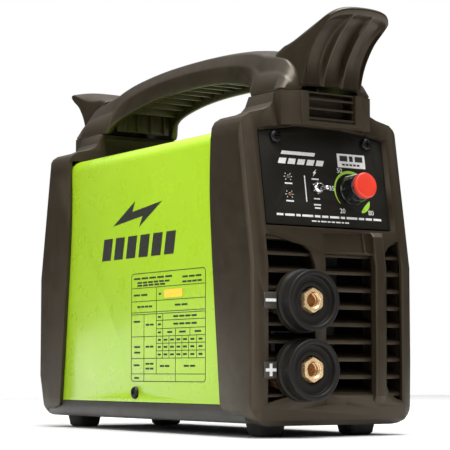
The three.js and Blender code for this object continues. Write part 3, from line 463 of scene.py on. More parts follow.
def on_panel(x, up, turn=0.0):
    """A place on the control panel in mm from its foot, turned by degrees about its normal."""
    spin = Matrix.Rotation(math.radians(turn), 4, "Z")
    return PANEL @ Matrix.Translation((x * MM, up * MM, 0)) @ spin


def facing_front(node):
    """Local Z along -Y from the world's origin plane, centred on a node seen from the front."""
    low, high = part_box(node)
    centre = Vector(((low.x + high.x) / 2, 0, (low.z + high.z) / 2))
    return axes_matrix(centre, ACROSS, Vector((0, 0, 1)), Vector((0, -1, 0)))


# ------------------------------------------------------------------ moulded casing
for end_bezel in ("front_bezel", "rear_bezel"):
    refined(end_bezel, 1.3, 3, 24)
refined("front_louvres", 0.4, 2)
refined("neck_louvres_front", 0.35, 2)
refined("neck_louvres_rear", 0.35, 2)
refined("base_tray", 0.5, 2, 40)
refined("control_panel", 0.35, 2)
for corner in ("front_left", "front_right", "rear_left", "rear_right"):
    refined(f"foot_{corner}", 1.0, 3)
for sign in ("minus", "plus"):
    refined(f"polarity_tile_{sign}", 0.45, 3)


def cover_piece():
    """The folded green sheet, with near-black painted shade on its inside faces."""
    piece = refined("cover", 0.35, 2, 40)
    piece.data.materials.append(MATERIALS["void_black"])
    low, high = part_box("cover")
    skin = 0.8 * MM
    for face in piece.data.polygons:
        place = face.center
        turned_in = face.normal.x * place.x + face.normal.z * (place.z - high.z / 2) < 0
        under_skin = low.x + skin < place.x < high.x - skin and place.z < high.z - skin
        # Inward faces inside the skin take the near-black material: painted shade of the dark inside.
        if under_skin and turned_in and abs(face.normal.y) < 0.5:
            face.material_index = 1


cover_piece()

HANDLE_FOOT = 228.1  # where the handle's ends stand on the necks, mm
RIB_COUNT = 13
RIB_REACH = 86
END_WALL_AT = 101
# [distance from the middle, top, underside, half-width at the foot, half-width at the facet], mm
HANDLE_LINE = [
    [0, 271.4, 248.6, 24, 24], [25, 271.1, 248.1, 24, 24], [50, 270, 246.2, 24, 24],
    [75, 267.9, 242.4, 24.6, 24.2], [90, 265.6, 238.6, 27, 24.6], [98, 263.9, 233.6, 30.5, 25.4],
    [104, 262.4, 228.1, 33.2, 26.2], [118, 259.2, 228.1, 36, 28.6], [130, 255.6, 228.1, 36.7, 30.4],
    [137, 251.6, 228.1, 36.7, 31.2], [143, 245.6, 228.1, 36.7, 31.2], [146.6, 239, 228.1, 34.4, 30],
    [148.6, 233, 228.1, 28, 27.4],
]
# Shares of the half-width and of the rise from underside to top, one side from the crown down.
HANDLE_SIDE = [
    (0, 1), (0.25, 0.99), (0.48, 0.964), (0.55, 0.95), (0.76, 0.886), (0.82, 0.865), (0.85, 0.815),
    (0.965, 0.575), (0.99, 0.52), (1, 0.48), (1, 0.44), (1, 0.06), (0.985, 0.012), (0.95, 0), (0.87, 0),
    (0.835, 0.02), (0.82, 0.08), (0.82, 0.42), (0.76, 0.56), (0.62, 0.66), (0.3, 0.7),
]


def handle_loops(line):
    """One loop of points round the handle for each row of line."""
    ring = HANDLE_SIDE + [(0, 0.71)] + [(-x, up) for x, up in reversed(HANDLE_SIDE[1:])]
    loops = []
    for y, top, under, foot_half, facet_half in line:
        under = max(under, HANDLE_FOOT)
        loop = []
        for x, up in ring:
            lower = min(1, max(0, (0.52 - up) / 0.35))
            half_width = facet_half + (foot_half - facet_half) * lower
            loop.append((x * half_width, y, under + (top - under) * up))
        loops.append(loop)
    return loops


def add_grip_ribs(made, line):
    """The cross ribs in the hollow underside of the grip."""
    line_at = {round(y): (top, under, facet) for y, top, under, _, facet in line}
    for k in range(RIB_COUNT):
        y = -RIB_REACH + 2 * RIB_REACH * k / (RIB_COUNT - 1)
        top, under, facet = line_at[min(line_at, key=lambda known: abs(known - y))]
        reach = facet * 0.86
        rise = under + (top - under) * 0.7
        add_block(made, (-reach, reach), (y - 1, y + 1), (under + 3.2, rise))


def add_end_walls(made):
    """The wall across each foot of the handle, with its four stiffening ribs."""
    for y in (-END_WALL_AT, END_WALL_AT):
        add_block(made, (-23, 23), (y - 1.5, y + 1.5), (230.6, 248))
        side = -1 if y > 0 else 1
        for x in (-18, -6, 6, 18):
            add_block(made, (x - 0.8, x + 0.8), sorted((y, y + side * 4)), (231, 245))


def handle_piece():
    """The carry handle: a lofted arch with the ribs and end walls of its hollow underside."""
    half = smooth_table(HANDLE_LINE, 73)
    line = [[-y, *rest] for y, *rest in reversed(half[1:])] + half
    mesh = skinned("handle_mesh", handle_loops(line))
    made = bmesh.new()
    made.from_mesh(mesh)
    add_grip_ribs(made, line)
    add_end_walls(made)
    made.to_mesh(mesh)
    made.free()
    finish = MATERIALS["casing_plastic"]
    return finish_mesh("handle_shell", mesh, finish, "case", "handle", 50)


def add_block(made, x, y, z):
    """Adds a closed block with rounded edges, in mm."""
    block = bmesh.ops.create_cube(made, size=1)
    scale = Matrix.Diagonal(((x[1] - x[0]) * MM, (y[1] - y[0]) * MM, (z[1] - z[0]) * MM, 1))
    centre = Matrix.Translation(Vector(((x[0] + x[1]) / 2, (y[0] + y[1]) / 2, (z[0] + z[1]) / 2)) * MM)
    bmesh.ops.transform(made, matrix=centre @ scale, verts=block["verts"])
    edges = list({edge for vert in block["verts"] for edge in vert.link_edges})
    bmesh.ops.bevel(made, geom=edges, offset=0.3 * MM, segments=2, affect="EDGES", profile=0.5)


handle_piece()

# ------------------------------------------------------------------ cable horns
# Side view of a horn in its middle as [Y, Z] in mm, from the seat to the tip.
HORN_BACK = [
    [-119, 259.9], [-128, 262.8], [-137, 266], [-146.5, 269.8], [-160, 274.4], [-174, 277.8],
    [-184, 279], [-188.4, 278.3],
]
HORN_FRONT = [
    [-152.6, 231], [-154.8, 238.6], [-158.4, 246.6], [-164.4, 255], [-172, 263], [-182, 270.2], [-188, 274.6],
]
HORN_NOSE = [([-189.3, 277.8], [-189.1, 275.6]), ([-189.8, 277.1], [-189.7, 276.3])]
HORN_SEAT = [
    [-119, 259.9], [-130.6, 256.2], [-137.6, 252.2], [-143.6, 246.2], [-147.2, 239.6], [-149.2, 233.6],
    [-152.6, 231],
]
HORN_HALF = 24.0  # half-width
RIB_AT = 8.0  # distance of each rib of the hollow front from the middle
CHANNEL_DEPTH = 5.8
SHOULDER = 7.0  # how far the back's long edges fall below its middle
# How far the handle's crown has fallen, by the share of its half-width.
CROWN_DROP = [(0, 0), (0.5, 0.04), (0.83, 0.14), (1, 0.5)]


def smoothstep(low, high, value):
    """0 below low, 1 above high, and a smooth rise between."""
    t = min(1, max(0, (value - low) / (high - low)))
    return t * t * (3 - 2 * t)


def along(table, at):
    """Straight-line value of a table of (place, value)."""
    for (x0, y0), (x1, y1) in zip(table, table[1:]):
        if at <= x1:
            return y0 + (y1 - y0) * max(0, at - x0) / (x1 - x0)
    return table[-1][1]


def channel_share(x):
    """How deep the hollow front lies across the horn: 0 on a rib's crest, 1 in a channel."""
    x = abs(x)
    rib = 1 - smoothstep(0.3, 2.1, abs(x - RIB_AT))
    rim = smoothstep(HORN_HALF - 3.4, HORN_HALF - 1.2, x)
    return 1 - rib - 0.35 * rim


def crown_fall(x, y):
    """How far the handle's crown has dropped at x, so that the horn's seat follows it."""
    top, under, facet = (along([(row[0], row[k]) for row in HANDLE_LINE], abs(y)) for k in (1, 2, 4))
    return along(CROWN_DROP, abs(x) / facet) * (top - under) * 0.9


def horn_spot(x, share, t, pair, seat, shape, depth=0.0):
    """A point of the horn: x across, share from back to front, t from seat to tip.

    shape is (dome, sink): how far the tip's corners lie below its middle, and how much lower it all lies.
    """
    dome, sink = shape
    back, front = pair
    place = back.lerp(front, share)
    bulge = max(0, 1 - t * 2.5)
    k = min(8, round(share * 8))
    straight = seat[0].lerp(seat[-1], k / 8)
    place = place + (seat[k] - straight) * bulge
    reach = min(1, max(0, (-place.x - 150) / 40))
    side = abs(x) / HORN_HALF
    corner = reach * (0.4 * side**2 + 0.6 * side**6)
    fall = crown_fall(x, place.x) * max(0, 1 - t * 6) * (1 - share) ** 0.5
    out = min(1, max(0, (-place.x - 119) / 70))
    crown = SHOULDER * math.sin(math.pi * out) * side**4 * (1 - share)
    lowered = sink * out * min(1, max(0, (place.y - 231) / 40)) * smoothstep(0, 0.15, t)
    up = place.y - corner * dome - fall - crown - lowered
    return (x, place.x + corner * 8 + depth * 0.86 + lowered * 0.6, up + depth * 0.5)


def horn_loops(shape):
    """Loops round the horn from its seat to its nose."""
    count = 41
    pairs = list(zip(smooth_table(HORN_BACK, count), smooth_table(HORN_FRONT, count)))
    levels = [(k / (count - 1), pair) for k, pair in enumerate(pairs)]
    levels += [(1, pair) for pair in HORN_NOSE]
    seat = [Vector(point) for point in smooth_table(HORN_SEAT, 9)]
    across = [-HORN_HALF + 2 * HORN_HALF * k / 64 for k in range(65)]
    edge = (0.03, 0.1, 0.25, 0.5, 0.75, 0.9, 0.97)
    loops = []
    for t, (back, front) in levels:
        pair = (Vector(back), Vector(front))
        fade = math.sin(math.pi * (0.16 + 0.76 * t)) * (1 - smoothstep(0.84, 0.98, t))
        loop = [horn_spot(x * 0.975, 0, t, pair, seat, shape) for x in across]
        loop += [horn_spot(HORN_HALF, share, t, pair, seat, shape) for share in edge]
        for x in reversed(across):
            depth = channel_share(x) * CHANNEL_DEPTH * fade
            loop.append(horn_spot(x * 0.975, 1, t, pair, seat, shape, depth))
        loop += [horn_spot(-HORN_HALF, share, t, pair, seat, shape) for share in reversed(edge)]
        loops.append(loop)
    return loops


def horn_piece(node, turn, shape):
    """A cable horn, turned about the object's upright axis by turn degrees."""
    mesh = skinned(node, horn_loops(shape))
    mesh.transform(Matrix.Rotation(math.radians(turn), 4, "Z"))
    finish_mesh(f"{node}_shell", mesh, MATERIALS["casing_plastic"], "case", node, 60)


horn_piece("cable_horn_front", 0, (5.5, 0))
horn_piece("cable_horn_rear", 180, (1.2, 7.8))


# ------------------------------------------------------------------ sockets and contacts
def hexagon_radius(corner, angle):
    """Distance to a hexagon's side whose corners point along +-Y."""
    turn = (angle - math.pi / 2) % (math.pi / 3) - math.pi / 6
    return corner * math.cos(math.pi / 6) / math.cos(turn)


def socket_piece(sign):
    """The insulating cup of a welding socket."""
    node = f"socket_{sign}"
    place = facing_front(node)
    profile = [
        (9, 138), (11.4, 138), (11.4, 155.3), (20.9, 155.3), (20.9, 157.2), (19.5, 157.9),
        (19.3, 163.6), (19.9, 164.2), (19.9, 168.0), (19.4, 168.5), (17.1, 168.5), (16.5, 168.0),
        (16.1, 166.4), (15.9, 164.6),
        (12.4, 164.5), (12.1, 164.9), (9.8, 164.9), (9, 164.3), (9, 138.2),
    ]
    mesh = turned(node, fillet(profile, 0.6), place, segments=96)
    finish_mesh(f"{node}_shell", mesh, MATERIALS["socket_plastic"], "case", node, 45)


def contact_piece(sign):
    """The hexagonal brass contact, with a threaded bore and a keyway at its top."""
    node = f"contact_{sign}"
    corner, bore, keyway = 8.3, 4.9, 6.4

    def shape(radius, height, angle):
        if radius >= 7.7:
            return min(hexagon_radius(corner, angle), radius)
        if radius <= bore + 0.3 and height > 143.5:
            off = abs((angle - math.pi / 2 + math.pi) % (2 * math.pi) - math.pi)
            return radius + (keyway - bore) * (1 - smoothstep(0.24, 0.30, off))
        return radius

    profile = [
        (0.01, 124), (7.5, 124), (7.5, 151), (8.4, 151.2), (8.4, 166.4), (7.75, 167), (5.4, 167),
        (4.95, 166.5), (4.9, 165.6), (4.5, 165.3), (4.5, 164.5), (4.9, 164.2), (4.9, 162.6), (4.5, 162.3),
        (4.5, 161.5), (4.9, 161.2), (4.9, 150), (4.9, 146), (0.01, 146),
    ]
    mesh = turned(node, profile, facing_front(node), shape, 96)
    finish_mesh(f"{node}_shell", mesh, MATERIALS["brass_contact"], "case", node, 25)


def polarity_sign(sign):
    """The white bar or cross on a socket's tile."""
    low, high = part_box(f"polarity_tile_{sign}")
    centre = (low + high) / 2
    centre.y = low.y
    place = axes_matrix(centre, ACROSS, Vector((0, 0, 1)), Vector((0, -1, 0)))
    bars = [rectangle(-4, -1, 4, 1)]
    if sign == "plus":
        bars = [rectangle(-4, -1, -1, 1), rectangle(1, -1, 4, 1), rectangle(-1, -4, 1, 4)]
    slabs(f"polarity_sign_{sign}", bars, place, "white", thickness=0.3)


for sign in ("minus", "plus"):
    socket_piece(sign)
    contact_piece(sign)
    polarity_sign(sign)


# ------------------------------------------------------------------ knob, switch and lamps
POINTER_TURN = 28  # the knob's pointer at rest, in degrees from straight up
LEVER_LEAN = 12  # the toggle's lever at rest, in degrees from the panel's normal
LAMP_X = -30
LAMP_UPS = {"power_lamp": 32, "alarm_lamp": 20}
PANEL_SCREW = (37.4, 58.7)


def knob_body():
    """The black grip of the current knob."""
    profile = [
        (0.01, 12.0), (3.3, 12.0), (3.3, 3.6), (7, 3.6), (7, 0.6), (10.3, 0.6), (10.3, 2.4), (9.75, 3.2),
        (9.0, 12.9), (8.5, 13.9), (0.01, 14),
    ]
    mesh = turned("knob_body", fillet(profile, 0.5), on_panel(*KNOB_ON_PANEL), segments=96)
    finish_mesh("knob_body_shell", mesh, MATERIALS["knob_black"], "knob", "knob_body", 45)


def knob_cap():
    """The red cap of the current knob."""
    profile = [(0.01, 14.3), (8.8, 14.3), (8.85, 17.2), (8.1, 18.25), (4, 18.4), (0.01, 18.4)]
    mesh = turned("knob_cap", fillet(profile, 0.7, 4), on_panel(*KNOB_ON_PANEL), segments=96)
    finish_mesh("knob_cap_shell", mesh, MATERIALS["knob_red"], "knob", "knob_cap", 45)


def knob_pointer():
    """The white line up the side of the knob."""
    low = (10.35, 2.2)
    high = (9.1, 13.6)
    run = Vector((high[0] - low[0], high[1] - low[1]))
    tangent = Vector((0, run.x, run.y)).normalized()
    out = Vector((0, run.y, -run.x)).normalized()
    side = axes_matrix(Vector((0, low[0], low[1])) * MM, Vector((-1, 0, 0)), tangent, out)
    place = on_panel(*KNOB_ON_PANEL, POINTER_TURN) @ side
    line = [rectangle(-0.55, 0, 0.55, run.length)]
    slabs("knob_pointer", line, place, "white", "knob", 0.25, -0.05)


def toggle_frame():
    """The lever's pivot in metres on the panel, and the switch's own place there."""
    local = PANEL.inverted() @ Vector(JOINTS["mode_toggle_flip"]["pos_m"])
    return local, on_panel(local.x / MM, local.y / MM)


def toggle_body():
    """The switch's case behind the panel and its threaded bush."""
    _, place = toggle_frame()
    threads = [(3.0 - 0.22 * (k % 2), 2.9 + 0.3 * k) for k in range(9)]
    mouth = [(0.01, -1), (2.25, -1), (2.25, 5.3), (2.45, 5.5), (2.8, 5.5)]
    case = [(3.0, 0.3), (3.0, -2.3), (4.1, -2.3), (4.1, -12), (0.01, -12)]
    profile = mouth + threads[::-1] + case
    mesh = turned("toggle_body", profile, place, segments=64)
    finish = MATERIALS["chrome_plate"]
    finish_mesh("toggle_body_shell", mesh, finish, "case", "toggle_body", 30)


def toggle_nut():
    """The hexagon nut that holds the switch."""
    def flats(radius, _height, angle):
        return min(hexagon_radius(4.4, angle), radius) if radius > 3.4 else radius

    _, place = toggle_frame()
    profile = [(3.3, 0.35), (4.45, 0.35), (4.45, 2.5), (4.0, 2.9), (3.5, 2.9), (3.3, 2.75), (3.3, 0.36)]
    mesh = turned("toggle_nut", profile, place, flats, 96)
    finish_mesh("toggle_nut_shell", mesh, MATERIALS["chrome_plate"], "case", "toggle_nut", 25)


def toggle_lever():
    """The bat lever, from the ball in the bush to its round end."""
    local, place = toggle_frame()
    lean = Matrix.Translation((0, 0, local.z)) @ Matrix.Rotation(math.radians(LEVER_LEAN), 4, "X")
    profile = [
        (0.01, -1.9), (1.0, -1.6), (1.7, -0.8), (1.9, 0), (1.7, 0.8), (1.25, 1.5), (1.05, 3), (1.1, 5),
        (1.4, 8), (1.6, 10.4), (1.55, 11.4), (1.2, 12.1), (0.6, 12.4), (0.01, 12.45),
    ]
    mesh = turned("toggle_lever", profile, place @ lean, segments=48)
    finish = MATERIALS["chrome_plate"]
    finish_mesh("toggle_lever_shell", mesh, finish, "toggle", "toggle_lever", 60)


def lamp_piece(node):
    """A domed lamp lens on the panel."""
    profile = [(0.01, -6), (1.5, -6), (1.5, 0.4), (1.35, 1.0), (0.95, 1.45), (0.5, 1.66), (0.01, 1.72)]
    mesh = turned(node, profile, on_panel(LAMP_X, LAMP_UPS[node]), segments=40)
    slot = SLOT_OF[node]
    finish_mesh(f"{node}_shell", mesh, MATERIALS[slot], "case", node, 50)


def screw_piece(node, place, head, height, shank, length):
    """A pan-head screw with a cross recess."""
    profile = [
        (0.01, -length), (shank, -length), (shank, 0), (head, 0), (head, height * 0.45),
        (head * 0.86, height * 0.85), (head * 0.6, height), (head * 0.34, height),
        (head * 0.26, height * 0.35), (0.01, height * 0.3),
    ]

    def cross(radius, level, angle):
        if level > 0 and radius <= head * 0.35:
            lobe = abs(math.cos(2 * angle)) ** 3
            return radius * (0.55 + 1.1 * lobe)
        return radius

    mesh = turned(node, profile, place, cross, 64)
    finish_mesh(f"{node}_shell", mesh, MATERIALS["black_steel"], "case", node, 40)


def panel_screw(side, sign):
    """A screw of the control panel; sign is -1 on the left."""
    x, up = PANEL_SCREW
    place = on_panel(sign * x, up) @ Matrix.Translation((0, 0, 0.3 * MM))
    screw_piece(f"panel_screw_{side}", place, 4.2, 2.3, 1.7, 9.3)


def cover_screw(side, sign):
    """A screw through the cover's side; sign is -1 on the left."""
    node = f"cover_screw_{side}"
    height = 2.0
    low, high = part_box(node)
    seat = (low.x if sign < 0 else high.x) - sign * height * MM
    origin = Vector((seat, (low.y + high.y) / 2, (low.z + high.z) / 2))
    place = axes_matrix(origin, Vector((0, sign, 0)), Vector((0, 0, 1)), Vector((sign, 0, 0)))
    screw_piece(node, place, 4.3, height, 1.8, 6.8)


knob_body()
knob_cap()
knob_pointer()
toggle_body()
toggle_nut()
toggle_lever()
for lamp_node in LAMP_UPS:
    lamp_piece(lamp_node)
for side_name, x_sign in (("left", -1), ("right", 1)):
    panel_screw(side_name, x_sign)
    cover_screw(side_name, x_sign)


# ------------------------------------------------------------------ panel print
def arc_band(centre, radius, width_at, start, end, steps=40):
    """A band round a centre whose width changes along it; angles in degrees."""
    outer = []
    inner = []
    for k in range(steps + 1):
        t = k / steps
        angle = math.radians(start + (end - start) * t)
        half = width_at(t) / 2
        for points, reach in ((outer, radius + half), (inner, radius - half)):
            points.append((centre[0] + reach * math.cos(angle), centre[1] + reach * math.sin(angle)))
    return outer + inner[::-1]


DIGIT_HEIGHT = 3.4
FONT_SCALE = 1.35  # the font's size over the height of its digits


def dial_number(text, x, up):
    """A printed number, centred on a place of the panel."""
    curve = bpy.data.curves.new(f"dial_{text}", "FONT")
    curve.body = text
    curve.size = DIGIT_HEIGHT * MM * FONT_SCALE
    curve.align_x = "CENTER"
    curve.align_y = "CENTER"
    curve.extrude = 0.06 * MM
    carrier = bpy.data.objects.new("carrier", curve)
    SCENE.collection.objects.link(carrier)
    evaluated = carrier.evaluated_get(bpy.context.evaluated_depsgraph_get())
    mesh = bpy.data.meshes.new_from_object(evaluated)
    bpy.data.objects.remove(carrier)
    mesh.transform(on_panel(x, up) @ Matrix.Translation((0, 0, 0.1 * MM)))
    finish_mesh(f"dial_number_{text}", mesh, INKS["white"], "case")


def dash_row(start, end, up, height, gap, first, scale):
    """A row of dashes of changing length, standing for a line of small print."""
    lengths = (5.2, 7.6, 3.4, 8.8, 4.4)
    dashes = []
    x = start
    k = first
    while x < end:
        length = lengths[k % len(lengths)] * scale
        dashes.append(rectangle(x, up - height / 2, min(x + length, end), up + height / 2))
        x += length + gap
        k += 1
    return dashes


def lamp_rays(up):
    """Short rays round a lamp, open above and below, over a bar."""
    inner = 2.3
    outer = 3.2
    half = 0.22
    marks = []
    for k in (0, 1, 3, 4, 5, 7):
        angle = math.radians(45 * k)
        c = math.cos(angle)
        s = math.sin(angle)
        corners = ((inner, half), (inner, -half), (outer, -half), (outer, half))
        marks.append([(LAMP_X + r * c - h * s, up + r * s + h * c) for r, h in corners])
    marks.append(rectangle(LAMP_X - 3, up - 5.1, LAMP_X + 3, up - 4.1))
    return marks


def switch_marks():
    """The bolt above the toggle and the bars round it."""
    bolt = [(-9.6, 33.2), (-6.6, 36.2), (-7.4, 36.6), (-6.2, 38.6), (-9.4, 35.8), (-8.5, 35.4)]
    bars = [rectangle(-10.8, 31, -5, 32), rectangle(-10.4, 17.6, -5.6, 18.5)]
    bars += [rectangle(-10.9, 13.4, -5.3, 14.4), rectangle(-10.4, 11.2, -5.8, 12.2)]
    return [bolt] + bars


def panel_marks():
    """All the white print on the panel but the label and the dial's numbers."""
    stripes = [slanted(-37 + 7.6 * k, 40.8, -31.2 + 7.6 * k, 44.6, 1.6) for k in range(5)]
    heading = slanted(-34, 47.2, -7, 49.6, 1.2)
    rule = rectangle(-16.9, 15.6, -16.1, 33.4)
    marks = stripes + [heading, rule]
    for up in LAMP_UPS.values():
        marks += lamp_rays(up)
    marks += switch_marks()
    marks += dash_row(-41.7, 44.2, 6.0, 1.5, 1.4, 0, 1)
    marks += dash_row(-13.9, 16.5, 2.6, 0.9, 1.0, 1, 0.5)
    slabs("panel_marks", marks, PANEL, "white")


def panel_label():
    """A white label with plain black bars."""
    slabs("panel_label", [rounded(12.1, 41.2, 35.4, 50.8, 0.6)], PANEL, "white")
    bars = [rectangle(14.2, 45.6, 20.6, 49.4), rectangle(22.2, 45.6, 25.2, 49.4)]
    bars += [rectangle(27, 45.6, 33.4, 49.4)]
    bars += [rectangle(15.8 + 3.1 * k, 42.6, 18.0 + 3.1 * k, 43.9) for k in range(5)]
    slabs("panel_label_bars", bars, PANEL, "black", lift=0.17, thickness=0.06)


def dial_scale():
    """The green band round the knob, widening clockwise, and its numbers."""
    def band_width(t):
        return 0.35 + 2.1 * t

    def leaf_width(t):
        return 3.4 * math.sin(math.pi * min(1, 0.06 + 0.94 * t)) ** 0.8 + 0.05

    band = arc_band(KNOB_ON_PANEL, 13.2, band_width, 222, 62)
    leaf = arc_band(KNOB_ON_PANEL, 16.2, leaf_width, -62, -22, 16)
    slabs("dial_scale", [band, leaf], PANEL, "green")
    for text, x, up in (("20", 12.3, 10.6), ("35", 5.2, 25.9), ("50", 13.0, 38.6), ("80", 36.2, 10.4)):
        dial_number(text, x, up)


panel_marks()
panel_label()
dial_scale()


# ------------------------------------------------------------------ print on the green cover
COVER_LOW, COVER_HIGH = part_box("cover")


def cover_side(sign):
    """Local X runs to the right as seen from that side, local Y up, from the floor under the middle."""
    origin = Vector((COVER_LOW.x if sign < 0 else COVER_HIGH.x, 0, 0))
    return axes_matrix(origin, Vector((0, sign, 0)), Vector((0, 0, 1)), Vector((sign, 0, 0)))


def side_marks(sign):
    """A plain lightning bolt over a row of slanted bars."""
    name = "left" if sign < 0 else "right"
    bolt = [(-36, 149), (-4, 165), (-8, 157.5), (34, 162), (2, 146), (7, 153.5)]
    bars = [slanted(-53 + 18 * k, 124, -40 + 18 * k, 140, 3.4) for k in range(6)]
    slabs(f"side_mark_{name}", [bolt] + bars, cover_side(sign), "black")


PLATE = (-8.7, 92, 35.4, 112.5)  # the table's left, right, bottom and top


def plate_rules():
    """The table's frame and the lines between its cells."""
    x0, x1, z0, z1 = PLATE
    line = 0.42
    outer = rounded(x0, z0, x1, z1, 3)
    inner = rounded(x0 + 0.5, z0 + 0.5, x1 - 0.5, z1 - 0.5, 2.5)
    ring = [[outer[i - 1], outer[i], inner[i], inner[i - 1]] for i in range(len(outer))]
    across = [(x0, x1, z) for z in (101.8, 92.3, 84.4, 83.0, 51.8, 40.9)] + [(x0, 26.9, 67.2)]
    across += [(26.9, x1, z) for z in (78.2, 72.4, 67.2, 62.2, 57)]
    down = [(26.9, 40.9, 101.8), (9.6, z0, 83.0), (35.6, 51.8, 83.0), (52.9, z0, 51.8), (52.9, 67.2, 72.4)]
    down += [(x, 51.8, 67.2) for x in (44.2, 52.9, 61.5, 70.2, 80.6)] + [(72, 67.2, 72.4)]
    rules = [rectangle(a + 0.5, z - line / 2, b - 0.5, z + line / 2) for a, b, z in across]
    rules += [rectangle(x - line / 2, a + 0.3, x + line / 2, b - 0.3) for x, a, b in down]
    slabs("rating_plate_rules", ring + rules, cover_side(-1), "black")


def plate_entries():
    """Short bars for the table's entries, from cells of (left, right, height, number of bars)."""
    cells = [(-5, 50, 108.6, 5), (0, 46, 105.6, 6), (0, 40, 103.6, 5), (62, 88, 107.4, 3), (62, 88, 104, 4)]
    cells += [(-5, 16, 96.8, 2), (30, 34, 96.8, 1), (0, 22, 88.4, 4), (52, 70, 88.4, 2)]
    cells += [(29, 34, z, 1) for z in (80.6, 75.4, 69.8, 64.6, 59.6, 54.4)]
    cells += [(50, 82, 80.6, 4), (50, 82, 75.4, 4), (42, 50, 69.8, 1), (58, 68, 69.8, 1), (78, 88, 69.8, 1)]
    cells += [(x, x + 6, z, 1) for x in (37, 45.8, 54.4, 63, 72.6, 83) for z in (64.6, 59.6, 54.4)]
    cells += [(-5, 6, 78, 1), (12, 24, 75.5, 2), (12, 24, 60, 2), (-4, 6, 60, 1), (-4, 6, 56, 1)]
    cells += [(-5, 5, 47, 1), (12, 24, 48, 2), (12, 24, 44.6, 2), (32, 46, 46.4, 2), (64, 80, 46.4, 2)]
    cells += [(-4, 4, 38, 1)]
    half = 0.65
    entries = []
    for a, b, z, count in cells:
        step = (b - a) / count
        for k in range(count):
            entries.append(rectangle(a + k * step, z - half, a + (k + 0.82) * step, z + half))
    slabs("rating_plate_entries", entries, cover_side(-1), "black", thickness=0.08)


def rating_plate():
    """A ruled table with short bars for its entries, on the left side."""
    plate_rules()
    plate_entries()
    patch = rounded(37.6, 93.8, 62.4, 99.6, 1.2)
    slabs("rating_plate_patch", [patch], cover_side(-1), "yellow", lift=0.16)


side_marks(-1)
side_marks(1)
rating_plate()

# ------------------------------------------------------------------ rear fittings and the inside
# How far each piece's edges are rounded, mm.
FITTINGS = {
    "fan_guard": 0.35, "fan_frame": 0.5, "fan_rotor": 0.3, "rocker_housing": 0.5, "power_rocker": 0.5,
    "cord_gland": 0.4, "gland_nut": 0.4, "socket_nut_minus": 0.5, "socket_nut_plus": 0.5,
    "potentiometer": 0.3, "potentiometer_nut": 0.3, "knob_shaft": 0.3, "bus_bar_minus": 0.3,
    "bus_bar_plus": 0.3, "control_board": 0.15, "main_board": 0.15, "heat_sink_primary": 0.3,
    "heat_sink_secondary": 0.3, "switch_transistor": 0.4, "output_diode": 0.4, "capacitor_front": 0.5,
    "capacitor_rear": 0.5, "transformer_core": 0.6, "transformer_winding": 1.2, "output_choke": 1.0,
    "bridge_rectifier": 0.6, "ribbon_cable": 0.2,
}
for fitting, fitting_edge in FITTINGS.items():
    refined(fitting, fitting_edge)


# ------------------------------------------------------------------ floor, light and camera
FLOOR_HALF = 1.35
CAMERA_AT = (-0.6582, -1.0430, 0.0425)
CAMERA_RISE = 5.0  # degrees above level
CAMERA_TURN = -32.742  # degrees about Z from looking along +Y
CAMERA_LENS = 134.1


def stage_floor():
    """A plain pale floor."""
    made, tree, shader = principled("floor_paper")
    tone = ramp(tree, noise(tree, 400, 2), [(0.3, (0.60, 0.60, 0.60)), (0.7, (0.62, 0.62, 0.62))])
    tree.links.new(tone, shader.inputs["Base Color"])
    shader.inputs["Roughness"].default_value = 0.9
    shader.inputs["Specular IOR Level"].default_value = 0.1
    corners = [(x, y, 0) for x, y in rectangle(-FLOOR_HALF, -FLOOR_HALF, FLOOR_HALF, FLOOR_HALF)]
    mesh = bpy.data.meshes.new("floor")
    mesh.from_pydata(corners, [], [(0, 1, 2, 3)])
    mesh.materials.append(made)
    floor = bpy.data.objects.new("floor", mesh)
    SCENE.collection.objects.link(floor)


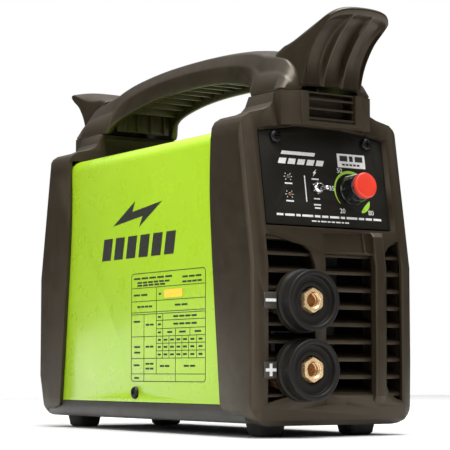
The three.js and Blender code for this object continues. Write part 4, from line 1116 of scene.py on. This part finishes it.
def area_light(name, place, target, size, power):
    """A round soft light that faces target."""
    lamp = bpy.data.lights.new(name, "AREA")
    lamp.shape = "DISK"
    lamp.size = size
    lamp.energy = power
    holder = bpy.data.objects.new(name, lamp)
    holder.location = place
    holder.rotation_mode = "QUATERNION"
    holder.rotation_quaternion = (Vector(target) - Vector(place)).to_track_quat("-Z", "Y")
    SCENE.collection.objects.link(holder)


def camera():
    """The photograph's view: low, 33 degrees round to the machine's left, long lens."""
    data = bpy.data.cameras.new("camera")
    data.sensor_width = 36
    data.lens = CAMERA_LENS
    data.clip_start = 0.05
    data.clip_end = 100
    holder = bpy.data.objects.new("camera", data)
    holder.location = CAMERA_AT
    holder.rotation_euler = (math.radians(90 + CAMERA_RISE), 0, math.radians(CAMERA_TURN))
    SCENE.collection.objects.link(holder)
    SCENE.camera = holder


def studio_world():
    """Soft light from above; the backdrop itself is plain white."""
    world = bpy.data.worlds.new("studio")
    world.use_nodes = True
    tree = world.node_tree
    lighting = tree.nodes["Background"]
    backdrop = tree.nodes.new("ShaderNodeBackground")
    backdrop.inputs["Strength"].default_value = 1.0
    backdrop.inputs["Color"].default_value = (1, 1, 1, 1)
    place = tree.nodes.new("ShaderNodeTexCoord")
    split = tree.nodes.new("ShaderNodeSeparateXYZ")
    tree.links.new(place.outputs["Generated"], split.inputs["Vector"])
    stops = [(0.0, (0.06, 0.06, 0.06)), (0.3, (0.09, 0.09, 0.09)), (0.9, (1, 1, 1))]
    sky = ramp(tree, split.outputs["Z"], stops)
    tree.links.new(sky, lighting.inputs["Color"])
    lighting.inputs["Strength"].default_value = 1.2
    path = tree.nodes.new("ShaderNodeLightPath")
    both = tree.nodes.new("ShaderNodeMixShader")
    tree.links.new(path.outputs["Is Camera Ray"], both.inputs[0])
    tree.links.new(lighting.outputs["Background"], both.inputs[1])
    tree.links.new(backdrop.outputs["Background"], both.inputs[2])
    tree.links.new(both.outputs["Shader"], tree.nodes["World Output"].inputs["Surface"])
    SCENE.world = world


stage_floor()
area_light("key", (-1.9, -0.35, 0.9), (0, 0, 0.14), 1.4, 13)
area_light("front", (-0.2, -1.9, 1.2), (0, 0, 0.12), 0.9, 0.8)
area_light("top", (0.0, -0.2, 2.0), (0, 0, 0.14), 1.6, 80)
studio_world()
SCENE.view_settings.view_transform = "Standard"
camera()
